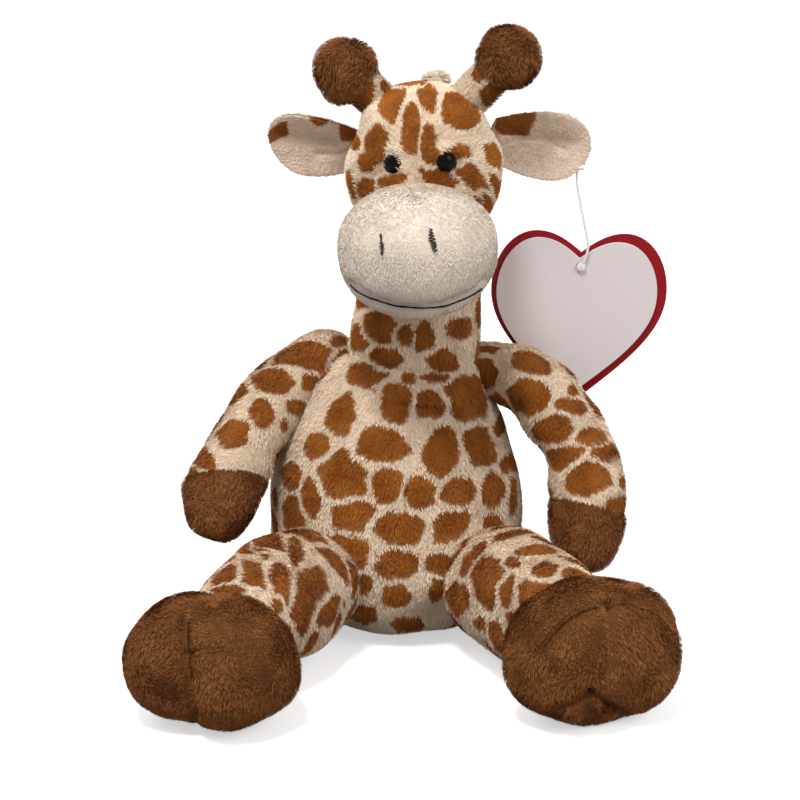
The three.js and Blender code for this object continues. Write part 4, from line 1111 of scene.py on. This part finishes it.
def surfaceAt(grid, pixels):  # the skin's point nearest to each pixel, and its normal
    points, normals = grid.reshape(-1, 3), skinNormals(grid)
    front = facingView(points, normals) > snap["leastFacing"]
    points, normals = points[front], normals[front]
    seen = toPixels(points)
    found, ways = [], []
    for pixel in np.array(pixels, float):
        away = np.linalg.norm(seen - pixel, axis=1)
        near = np.argsort(away)[:snap["neighbours"]]
        weight = 1 / (away[near] + snap["soft"])
        found.append((points[near] * weight[:, None]).sum(0) / weight.sum())
        ways.append(unit(normals[near].sum(0)))
    return np.array(found), np.array(ways)


offThread = np.array([0.31, 0.2, 0.93])  # a direction that no thread runs in


def tubeAlong(line, radii, sides):  # rings round a line of points
    ahead = unit(np.gradient(line, axis=0))
    sideway = unit(np.cross(ahead, offThread))
    upward = np.cross(ahead, sideway)
    turn = turnsOf(sides)[:, None]
    around = sideway[:, None] * np.cos(turn) + upward[:, None] * np.sin(turn)
    return line[:, None] + radii[:, None, None] * around


def joinGrids(name, grids, material):  # tubes and domes in one mesh, closed at both ends
    verts, faces = [], []
    for grid in grids:
        rings, sides = grid.shape[:2]
        points, quads, _ = sheetOf(grid)
        start = len(verts)
        last = start + (rings - 1) * sides
        verts += (points * mm).tolist()
        faces += (quads + start).tolist()
        faces += [list(range(start + sides - 1, start - 1, -1)), list(range(last, last + sides))]
    mesh = bpy.data.meshes.new(name)
    mesh.from_pydata(verts, [], faces)
    mesh.validate()
    mesh.polygons.foreach_set("use_smooth", np.ones(len(mesh.polygons), bool))
    mesh.materials.append(material)
    return mesh


# Embroidery: short stitches of black thread
threadLook = {
    "grain": 4000, "colour": (0.008, 0.005, 0.004, 1), "otherColour": (0.02, 0.014, 0.011, 1),
    "bump": (0.5, 0.1), "sockets": {"Roughness": 0.7, "Specular IOR Level": 0.1, "Sheen Weight": 0.03},
}
embroidery = {
    "threadRadius": 0.21, "threadSides": 7, "lift": 0.7, "seed": 81,
    "stitch": 2.2, "overlap": 1.12, "rows": (-0.12, 0.12), "unevenRow": 0.05,
    "arch": (0, -0.28, 0.056), "endShare": 0.75, "bends": 9,
    "lineSteps": 300, "pixelSteps": 60, "pixelStride": 4,
    "nostrils": {
        "right": ([(381.5, 235), (382, 242), (383, 249), (382.5, 254)], 0.95),  # its line and its width
        "left": ([(430, 230), (431, 237), (433, 244), (434.5, 251)], 1.7),
    },
    "nostrilRows": 15, "nostrilBends": 7, "nostrilArch": (0, -0.3, 0), "taper": 0.4,
    "swell": (0.45, 0.75, 0.12, 0.8), "unevenWidth": 0.12, "slant": 0.25,
}


def makeMouth(grid, material, draw):
    values = embroidery
    pixels = [(x, y, 0) for x, y in mouthThrough(muzzle["mouthEnds"])]
    line, ways = surfaceAt(grid, curveThrough(pixels, values["pixelSteps"])[0][:, :2])
    steps = values["lineSteps"]
    line, length = curveThrough((line + ways * values["lift"])[::values["pixelStride"]], steps)
    count = int(length / values["stitch"])
    arch = np.sin(np.linspace(0, math.pi, values["bends"]))
    radii = values["threadRadius"] * (values["endShare"] + (1 - values["endShare"]) * arch)
    stitches = []
    for number in range(count):
        low = int(steps * number / count)
        high = min(steps - 1, int(steps * (number + values["overlap"]) / count))
        for row in values["rows"]:
            picked = np.linspace(low, high, len(arch)).astype(int)
            part = line[picked] + np.array(values["arch"]) * arch[:, None]
            part[:, 2] += row + draw.normal(0, values["unevenRow"])
            stitches.append(tubeAlong(part, radii, values["threadSides"]))
    mesh = joinGrids("mouth", stitches, material)
    place("mouth_stitches", mesh, "head", "black_thread", ["mouth_embroidery"])


def makeNostril(name, grid, material, draw):
    values = embroidery
    pixels, width = values["nostrils"][name]
    middle, ways = surfaceAt(grid, pixels)
    middle = curveThrough(middle + ways * values["lift"], values["nostrilRows"])[0]
    least, more, start, run = values["swell"]
    ends = np.linspace(-1, 1, values["nostrilBends"])[:, None]
    radii = values["threadRadius"] * (1 - values["taper"] * np.abs(ends[:, 0]) ** 3)
    rows = []
    for share, spot in zip(np.linspace(0, 1, len(middle)), middle):
        swell = least + more * math.sin(math.pi * (start + run * share))
        half = width / 2 * swell + draw.normal(0, values["unevenWidth"])
        slant = up * draw.normal(0, values["slant"])
        arch = np.array(values["nostrilArch"]) * (1 - ends ** 2)
        row = spot + across * half * ends + slant * ends + arch
        rows.append(tubeAlong(row, radii, values["threadSides"]))
    mesh = joinGrids("nostril", rows, material)
    place(f"nostril_stitches_{name}", mesh, "head", "black_thread", [f"nostril_{name}"])


def makeEmbroidery(grid):
    material = grainyMaterial("black_thread", threadLook)
    draw = np.random.default_rng(embroidery["seed"])
    makeMouth(grid, material, draw)
    for name in embroidery["nostrils"]:
        makeNostril(name, grid, material, draw)


eyeLook = {
    "grain": 900, "colour": (0.002, 0.002, 0.002, 1), "otherColour": (0.006, 0.004, 0.003, 1),
    "roughness": (0.04, 0.1), "sockets": {"Specular IOR Level": 0.06},
}


def makeEyes():
    material = grainyMaterial("black_plastic", eyeLook)
    radius, shank, pole = eyes["radius"], eyes["shankRadius"], eyes["poleRadius"]
    profile = [(pole, -eyes["shankLength"]), (shank, -eyes["shankLength"]), (shank, -eyes["edge"][0][1])]
    profile += [(radius - inset, -depth) for inset, depth in eyes["edge"]]
    profile += [(max(radius * math.cos(angle), pole), eyes["dome"] * math.sin(angle))
                for angle in np.linspace(0, math.pi / 2, eyes["arcSteps"])]
    turn = turnsOf(eyes["sides"])
    local = np.array([[(r * math.cos(t), r * math.sin(t), z) for t in turn] for r, z in profile])
    for name, side in (("left", 1), ("right", -1)):
        mesh = joinGrids(f"eye_{name}", [moved(local, eyeMatrix(side))], material)
        place(f"eye_dome_{name}", mesh, "head", "black_plastic", [f"eye_{name}"])


# Ears, built along +X from the root. The spotted back shows along the upper edge of the lining.
ears = {
    "length": 38, "halfWidth": 13, "backThickness": 3.4, "liningThickness": 2.6, "cup": 4.5,
    "rootX": 22, "rootY": 13, "sweep": 14, "widestShare": 0.6, "rootWidthShare": 0.62,
    "rings": 64, "sides": 80, "leastWidth": 0.02, "backRim": 1.1, "insetShare": 0.6, "halfGap": 0.15,
    "foldShift": 1.5, "foldSize": 3.0, "foldStarts": (0.05, 0.3), "foldEnds": (0.7, 0.95),
    "napDrop": (0, 0, -0.3), "backFur": {"length": 1.2, "perArea": 4.6}, "liningFur": {"perArea": 5},
    "left": {
        "side": 1, "rootHeight": 33.3, "droop": 9, "twist": 0, "fold": 2.2, "seed": 110,
        "rim": 0.7, "rimDrop": 0.2, "creases": [([(502, 146), (520, 141), (545, 141), (563, 149)], 1.3, 3.5)],
        "spots": [(498, 106, 531, 133, 12)],
    },
    "right": {
        "side": -1, "rootHeight": 29.8, "droop": -5, "twist": 16, "fold": 1.4, "seed": 130,
        "rim": 0.9, "rimDrop": 0.5, "creases": [([(352, 151), (336, 155), (318, 154)], 1.2, 3.5)],
        "spots": [(266, 126, 289, 137, 35), (312, 112, 328, 121), (342, 112, 362, 136)],
    },
}


def earPlace(ear):
    turn = turnMatrix((0, 0, 1), ears["sweep"])
    turn = turn @ turnMatrix((0, 1, 0), ear["droop"]) @ turnMatrix((1, 0, 0), ear["twist"])
    mirror = np.diag([ear["side"], 1.0, 1.0, 1.0])
    return headPlace @ mirror @ shiftMatrix(ears["rootX"], ears["rootY"], ear["rootHeight"]) @ turn


def earGrid(thickness, facing, inset, fold):
    shares = evenEnds(ears["rings"])[:, None]
    turn = turnsOf(ears["sides"])[None, :]
    widest, atRoot = ears["widestShare"], ears["rootWidthShare"]
    swell = atRoot + (1 - atRoot) * np.sin(math.pi * np.minimum(shares, widest) / (2 * widest))
    beyond = (np.maximum(shares, widest) - widest) / (1 - widest)
    taper = np.sqrt(np.maximum(0, 1 - beyond ** 2))
    wide = np.maximum(ears["halfWidth"] * np.where(shares < widest, swell, taper) - inset, ears["leastWidth"])
    ends = np.sin(math.pi * shares) ** 0.5
    z = wide * np.minimum(1, ends * 3) * np.cos(turn)
    cup = -ears["cup"] * (z / ears["halfWidth"]) ** 2
    out = facing * np.maximum(0, -facing * np.sin(turn)) * (thickness - inset * ears["insetShare"]) * ends
    hollow = fold * np.exp(-((z - ears["foldShift"]) / ears["foldSize"]) ** 2) * ends
    hollow = hollow * smooth(shares, *ears["foldStarts"]) * (1 - smooth(shares, *ears["foldEnds"]))
    x = shares * (ears["length"] - inset) + 0 * z
    return np.stack([x, cup + facing * ears["halfGap"] + out + hollow, z], 2)


def makeEarBack(name, ear, matrix, nap):
    grid = facingOut(moved(earGrid(ears["backThickness"], 1, ears["backRim"], ear["fold"]), matrix))
    spots = hiddenSpots(grid, seenSpots(grid, ear["spots"]), ear["seed"], radius=(4, 5.5), turnedAway=-0.4)
    makeSkin(f"ear_back_cloth_{name}", grid, f"ear_{name}", "spotted_plush", [f"ear_back_{name}"],
             {**spottedFur, **ears["backFur"]}, ear["seed"] + 3, nap, spots, [inHead],
             nearCreases(ear["creases"]))


def makeEarLining(name, ear, matrix, nap):
    local = earGrid(ears["liningThickness"], -1, ear["rim"], ear["fold"])
    local[:, :, 2] -= ear["rimDrop"]
    grid = facingOut(moved(local, matrix))
    spots = seenSpots(grid, ear["spots"])
    grid = press(grid, ear["creases"])
    # the lining wears its own copy of the cream plush, pinker, and lighter and warmer as painted light for its
    # shaded cup
    makeSkin(f"ear_lining_cloth_{name}", grid, f"ear_{name}", "cream_plush", [f"ear_lining_{name}"],
             {**creamFur, **ears["liningFur"]}, ear["seed"] + 1, nap, spots, [inHead],
             nearCreases(ear["creases"]), finish="ear_plush")


def makeEars():
    for name in sideNames:
        matrix = earPlace(ears[name])
        nap = towards(matrix[:3, 0] + np.array(ears["napDrop"]))
        makeEarBack(name, ears[name], matrix, nap)
        makeEarLining(name, ears[name], matrix, nap)


# Horns: spotted stalks with brown balls
horns = {
    "rootX": 14, "rootY": 3, "rootHeight": 47.5, "stalkRadii": (7.6, 7.4), "ballRadius": 11.9, "blunt": 8,
    "stalkMesh": (64, 50), "ballMesh": (72, 50), "insetShare": 0.8, "ruffle": (0.35, 8), "ballPile": 2.4,
    "left": {
        "side": 1, "splay": 45, "length": 23, "seed": 150,
        "spots": [(472, 65, 486, 83, -20), (486, 92, 509, 111, 35)],
    },
    "right": {
        "side": -1, "splay": 46, "length": 17.5, "seed": 160,
        "spots": [(344, 96, 365, 114, -30), (381, 77, 390, 96, 20)],
    },
}


def inHornBall(tip):
    return lambda points: horns["ballRadius"] - np.linalg.norm(points - tip, axis=1)


def makeStalk(name, horn, root, tip):
    form = {"path": [root, (root + tip) / 2, tip], "radii": horns["stalkRadii"], "blunt": horns["blunt"],
            "reference": back}
    sides, rings = horns["stalkMesh"]
    grid = limbGrid(form, evenEnds(rings), pileDepth * horns["insetShare"], sides)
    spots = hiddenSpots(grid, seenSpots(grid, horn["spots"]), horn["seed"], radius=(3.5, 5), gap=3.5)
    makeSkin(f"horn_stalk_cloth_{name}", grid, "head", "spotted_plush", [f"horn_stalk_{name}"], spottedFur,
             horn["seed"] + 1, towards(tip - root), spots, [inHead, inHornBall(tip)])


def makeHornBall(name, horn, tip):
    radius = horns["ballRadius"]
    ball = {"halfWidth": radius, "halfDepth": radius, "above": radius, "below": radius, "blunt": 1}
    grid = ballGrid(ball, brownPileDepth, *horns["ballMesh"]) + tip
    grid = ruffle(grid, *horns["ruffle"], horn["seed"] + 2)
    makeSkin(f"horn_ball_cloth_{name}", grid, "head", "brown_plush", [f"horn_ball_{name}"],
             {**brownFur, "length": horns["ballPile"]}, horn["seed"] + 3,
             towards((0.25 * horn["side"], -0.6, -1)), (), [])


def makeHorns():
    for name in sideNames:
        horn = horns[name]
        side, splay = horn["side"], math.radians(horn["splay"])
        root = np.array([side * horns["rootX"], horns["rootY"], horns["rootHeight"]])
        tip = root + horn["length"] * np.array([side * math.sin(splay), 0, math.cos(splay)])
        root, tip = moved(np.array([root, tip]), headPlace)
        makeStalk(name, horn, root, tip)
        makeHornBall(name, horn, tip)


# Mane, a strip over the crown and down the back of the skull
mane = {
    "halfWidth": 5.2, "halfHeight": 2.6, "topAngle": 82, "bottomAngle": -20, "gap": -1.9, "blunt": 8,
    "endTuck": 1.4, "tucked": (1, 0, 0, 0, 0, 0, 1), "topShift": 5, "shifted": (1, 0.75, 0.4, 0.15, 0, 0, 0),
    "sides": 48, "rings": 60, "inset": 0.9, "seed": 171,
    "fur": {"perArea": 6, "length": 3.0, "lean": 38, "curl": 22, "clump": 0.3, "clumpSize": 4},
}


def makeMane():
    angles = np.radians(np.linspace(mane["topAngle"], mane["bottomAngle"], len(mane["tucked"])))
    lifts = mane["halfHeight"] + mane["gap"] - mane["endTuck"] * np.array(mane["tucked"])
    path = [onBall(head, math.pi, angle, lift) for angle, lift in zip(angles, lifts)]
    aside = mane["topShift"] * np.array(mane["shifted"])
    path = moved(np.array(path) + aside[:, None] * across, skullPlace)
    form = {"path": path, "radii": (mane["halfHeight"], mane["halfHeight"]), "blunt": mane["blunt"],
            "reference": headPlace[:3, :3] @ across, "flatten": mane["halfWidth"] / mane["halfHeight"]}
    grid = limbGrid(form, evenEnds(mane["rings"]), mane["inset"], mane["sides"])
    makeSkin("mane_cloth", grid, "head", "tan_plush", ["mane"], {**spottedFur, **mane["fur"]}, mane["seed"],
             towards((0, 0.5, -1)), (), [inHead])


def wristSeam(grid, arm, middle, ahead):  # a slanted seam draws the cloth in at the wrist
    away = (grid - middle) @ ahead
    shift = arm["seamShift"] + arm["seamTilt"] * ((grid - middle) @ unit(np.cross(ahead, (0, 1, 0))))
    grid = grid + ahead * (shift * np.exp(-(away / arms["seamSize"]) ** 2))[:, :, None]
    tuck = arms["tuck"] * np.exp(-(away / arms["tuckSize"]) ** 2)
    normals = skinNormals(grid).reshape(grid.shape)
    return ruffle(grid - normals * tuck[:, :, None], *arms["ruffle"], arm["seed"])


def makeArms():
    for name in sideNames:
        arm, sides = arms[name], arms["sides"]
        form = armForm(arm)
        line, length = curveThrough(form["path"])
        number = int(arm["wristShare"] * (len(line) - 1))
        middle, ahead = line[number], unit(line[number + 1] - line[number])

        trim = pileDepth / length
        low, high = ((share - trim) / (1 - 2 * trim) for share in (0, arm["wristShare"]))
        spacing = 1 - np.cos(np.linspace(0, math.pi / 2, arms["armRings"]))
        grid = limbGrid(form, np.clip(low + (high - low) * spacing, 0, 1), pileDepth, sides)
        grid = wristSeam(grid, arm, middle, ahead)
        spots = seenSpots(grid, arm["spots"])
        spots = hiddenSpots(grid, spots, arm["seed"] + 1, stretch=1.4, grain=ahead)
        makeSkin(f"arm_cloth_{name}", grid, f"arm_{name}", "spotted_plush",
                 [f"arm_{name}", f"arm_stuffing_{name}"], spottedFur, arm["seed"] + 2, towards(ahead), spots, [inTorso, inNeck])

        trim = brownPileDepth / length
        low = (arm["wristShare"] - trim) / (1 - 2 * trim)
        spacing = np.sin(np.linspace(0, math.pi / 2, arms["handRings"]))
        grid = limbGrid(form, low + (1 - low) * spacing, brownPileDepth, sides)
        grid = press(wristSeam(grid, arm, middle, ahead), arm["handCreases"])
        makeSkin(f"hand_cloth_{name}", grid, f"arm_{name}", "brown_plush", [f"hand_{name}"], brownFur,
                 arm["seed"] + 3, towards(ahead), (), [])


def makeLeg(name, leg, side):
    form = legForm(leg)
    ahead = unit(form["path"][2] - form["path"][0])
    grid = limbGrid(form, evenEnds(legs["rings"]), pileDepth, legs["sides"])
    grid = ruffle(grid, *legs["ruffle"], leg["seed"])
    spots = hiddenSpots(grid, seenSpots(grid, leg["spots"]), leg["seed"] + 1, stretch=2.0, grain=ahead,
                        radius=(4, 6), turnedAway=spotPicking["everywhere"])
    makeSkin(f"leg_cloth_{name}", grid, f"leg_{name}", "spotted_plush",
             [f"leg_{name}", f"leg_stuffing_{name}"], {**spottedFur, "length": legs["pile"]},
             leg["seed"] + 2, towards((0.5 * side, -0.5, -1)), spots, [inTorso, inFoot[name]], deep=3.2)


def makeFoot(name, leg, side):
    local = ballGrid(footForm(leg), brownPileDepth, *feet["mesh"])
    fromCleft = (local[:, :, 0] - side * feet["cleftShift"]) / feet["cleftHalfWidth"]
    front = np.maximum(0, -local[:, :, 1]) / feet["halfDepth"]
    local[:, :, 1] += feet["cleftDepth"] * front * np.exp(-fromCleft ** 2)
    grid = press(ruffle(moved(local, footPlace(leg)), *legs["ruffle"], leg["seed"] + 3), leg["creases"])
    makeSkin(f"foot_cloth_{name}", grid, f"leg_{name}", "brown_plush", [f"foot_{name}"], brownFur, leg["seed"] + 4, towards((0.3 * side, -0.6, -1)), (), [inLeg[name]],
             nearCreases(leg["creases"]))


def makeLegs():
    for name in sideNames:
        makeLeg(name, legs[name], legs[name]["side"])
        makeFoot(name, legs[name], legs[name]["side"])


# Tail
tail = {
    "rootHeight": 33, "length": 30, "radius": 3.6, "tuftRadius": 5.6, "tuftLength": 15, "lean": 9,
    "standOff": 8.6, "bendDrop": 7.2, "joined": 4.5, "blunt": 8, "inset": 1.3, "rings": 40, "sides": 40, "seed": 181,
    "tuftBlunt": 2, "tuftInset": 1.4, "tuftSides": 48, "tuftFur": {"length": 3.4, "perArea": 4, "lean": 55},
}


def makeTail():
    lean, radius = math.radians(tail["lean"]), tail["radius"]
    below = math.asin((torso["middle"][2] - tail["rootHeight"]) / torso["middle"][2])
    skinY = onBall(torso, math.pi, -below)[1] + torso["middle"][1]
    root = np.array([0, skinY - radius, tail["rootHeight"]])
    ahead = np.array([0, math.sin(lean), -math.cos(lean)])
    outward = np.array([0, tail["standOff"], 0])
    bend = root + ahead * tail["bendDrop"] + outward
    tuftTop = root + ahead * (tail["length"] - tail["tuftLength"]) + outward
    tuftEnd = root + ahead * tail["length"] + outward

    cord = {"path": [root, bend, tuftTop + ahead * tail["joined"]], "radii": (radius, radius),
            "blunt": tail["blunt"], "reference": across}
    grid = limbGrid(cord, evenEnds(tail["rings"]), tail["inset"], tail["sides"])
    spots = hiddenSpots(grid, [], tail["seed"], radius=(2.6, 3.6), gap=2.6,
                        turnedAway=spotPicking["everywhere"])
    makeSkin("tail_cloth", grid, "tail", "spotted_plush", ["tail"], spottedFur, tail["seed"] + 1,
             towards(ahead), spots, [inTorso])

    tuftRadii = (tail["tuftRadius"], tail["tuftRadius"], radius)
    tuft = {"path": [tuftTop, (tuftTop + tuftEnd) / 2, tuftEnd], "radii": tuftRadii,
            "blunt": tail["tuftBlunt"], "reference": across}
    grid = limbGrid(tuft, evenEnds(tail["rings"]), tail["tuftInset"], tail["tuftSides"])
    makeSkin("tail_tuft_cloth", grid, "tail", "brown_plush", ["tail_tuft"], {**brownFur, **tail["tuftFur"]},
             tail["seed"] + 2, towards(ahead), (), [])


# Swing tag: two heart-shaped leaves of card
tag = {
    "thickness": 0.8, "bevel": 0.12, "lean": 5.5, "holeRadius": 1.2, "steps": 24,
    "startShares": (0, 0),
    "curveShares": [
        (0.17, 0.07, 0.32, 0.115, 0.5, 0.115),
        (0.78, 0.115, 1, -0.03, 1, -0.22),
        (1, -0.48, 0.45, -0.68, 0, -0.885),
    ],
    # how each leaf hangs: its hole from the notch, its turn and its nudge
    "front": {"card": "pale_card", "size": (58, 59), "hole": (0, -3), "turn": -1.6, "nudge": (0.2, 0)},
    "back": {
        "card": "red_card", "size": (63.4, 64.5), "hole": (-2.6, -4.6), "turn": -3.0, "nudge": (-1.2, -0.55),
    },
}
cards = {
    "grain": 700, "grainDetail": 4, "bump": (0.12, 0.05), "sockets": {"Specular IOR Level": 0.2},
    "pale_card": {
        "colour": (0.80, 0.735, 0.74, 1), "otherColour": (0.76, 0.69, 0.70, 1), "roughness": (0.44, 0.56),
    },
    "red_card": {
        "colour": (0.30, 0.002, 0.008, 1), "otherColour": (0.24, 0.002, 0.006, 1), "roughness": (0.39, 0.51),
    },
}
roundHandle = 0.5523  # a handle's share of the radius, for a quarter of a circle


def setKnot(knot, spot, before, after):
    knot.handle_left_type = knot.handle_right_type = "FREE"
    knot.co, knot.handle_left, knot.handle_right = spot, before, after


def heartMesh(name, width, height, hole):
    half = width / 2
    knots = [tag["startShares"]] + [share[4:] for share in tag["curveShares"]]
    right = [(x * half, y * height) for x, y in knots]
    handles = [((a * half, b * height), (c * half, d * height)) for a, b, c, d, _, _ in tag["curveShares"]]
    curve = bpy.data.curves.new(name, "CURVE")
    curve.dimensions = "2D"
    curve.fill_mode = "BOTH"
    curve.extrude = tag["thickness"] / 2 - tag["bevel"]
    curve.bevel_depth = tag["bevel"]
    curve.offset = -tag["bevel"]
    curve.resolution_u = tag["steps"]
    outline = curve.splines.new("BEZIER")
    points = right + [(-x, y) for x, y in reversed(right[1:-1])]
    outline.bezier_points.add(len(points) - 1)
    last = len(right) - 1
    for number, (x, y) in enumerate(points):
        if number <= last:
            before = handles[number - 1][1] if number else (-handles[0][0][0], handles[0][0][1])
            after = handles[number][0] if number < last else (-handles[-1][1][0], handles[-1][1][1])
        else:
            twin = 2 * last - number
            before = (-handles[twin][0][0], handles[twin][0][1])
            after = (-handles[twin - 1][1][0], handles[twin - 1][1][1])
        setKnot(outline.bezier_points[number], (x, y, 0), (*before, 0), (*after, 0))
    outline.use_cyclic_u = True
    ring = curve.splines.new("BEZIER")
    ring.bezier_points.add(3)
    for number, (x, y) in enumerate(((1, 0), (0, -1), (-1, 0), (0, 1))):
        centre = np.array([hole[0] + x * tag["holeRadius"], hole[1] + y * tag["holeRadius"], 0])
        ahead = np.array([y, -x, 0]) * tag["holeRadius"] * roundHandle
        setKnot(ring.bezier_points[number], centre, centre - ahead, centre + ahead)
    ring.use_cyclic_u = True
    source = bpy.data.objects.new(name, curve)
    bpy.context.scene.collection.objects.link(source)
    bpy.context.view_layer.update()
    mesh = bpy.data.meshes.new_from_object(source.evaluated_get(bpy.context.evaluated_depsgraph_get()))
    bpy.data.objects.remove(source)
    bpy.data.curves.remove(curve)
    return mesh


def makeTag():
    stand = turnMatrix((0, 1, 0), tag["lean"]) @ turnMatrix((1, 0, 0), 90)
    for name in ("front", "back"):
        leaf = tag[name]
        mesh = heartMesh(f"tag_{name}_card", *leaf["size"], leaf["hole"])
        mesh.transform(Matrix(stand))
        points = np.array([vert.co for vert in mesh.vertices])
        boxMiddle = sum(np.array(corner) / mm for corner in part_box(f"tag_{name}")) / 2
        mesh.transform(Matrix.Translation(boxMiddle - (points.min(0) + points.max(0)) / 2))
        middle = Matrix.Translation(boxMiddle)
        turn = Matrix.Rotation(math.radians(leaf["turn"]), 4, "Y")
        nudge = Matrix.Translation((leaf["nudge"][0], 0, leaf["nudge"][1]))
        mesh.transform(Matrix.Scale(mm, 4) @ nudge @ middle @ turn @ middle.inverted())
        mesh.materials.append(grainyMaterial(leaf["card"], {**cards, **cards[leaf["card"]]}))
        place(f"tag_{name}_leaf", mesh, "tag", leaf["card"], [f"tag_{name}"])


clearLook = {
    "grain": 500, "colour": (0.92, 0.925, 0.93, 1), "otherColour": (0.98, 0.985, 0.99, 1),
    "roughness": (0.18, 0.32), "sockets": {"Transmission Weight": 0.2, "IOR": 1.46},
}


def dressFastener():
    material = grainyMaterial("clear_plastic", clearLook)
    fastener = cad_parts["tag_fastener"]
    if not fastener.material_slots:
        fastener.data.materials.append(material)
    for slot in fastener.material_slots:
        slot.material = material


makeTorso()
makeNeck()
makeHead()
muzzleGrid = makeMuzzle()
makeEmbroidery(muzzleGrid)
makeEyes()
print("head and face are made")
makeEars()
makeHorns()
makeMane()
makeArms()
makeLegs()
makeTail()
print("limbs are made")
makeTag()
dressFastener()
print("tag is made")
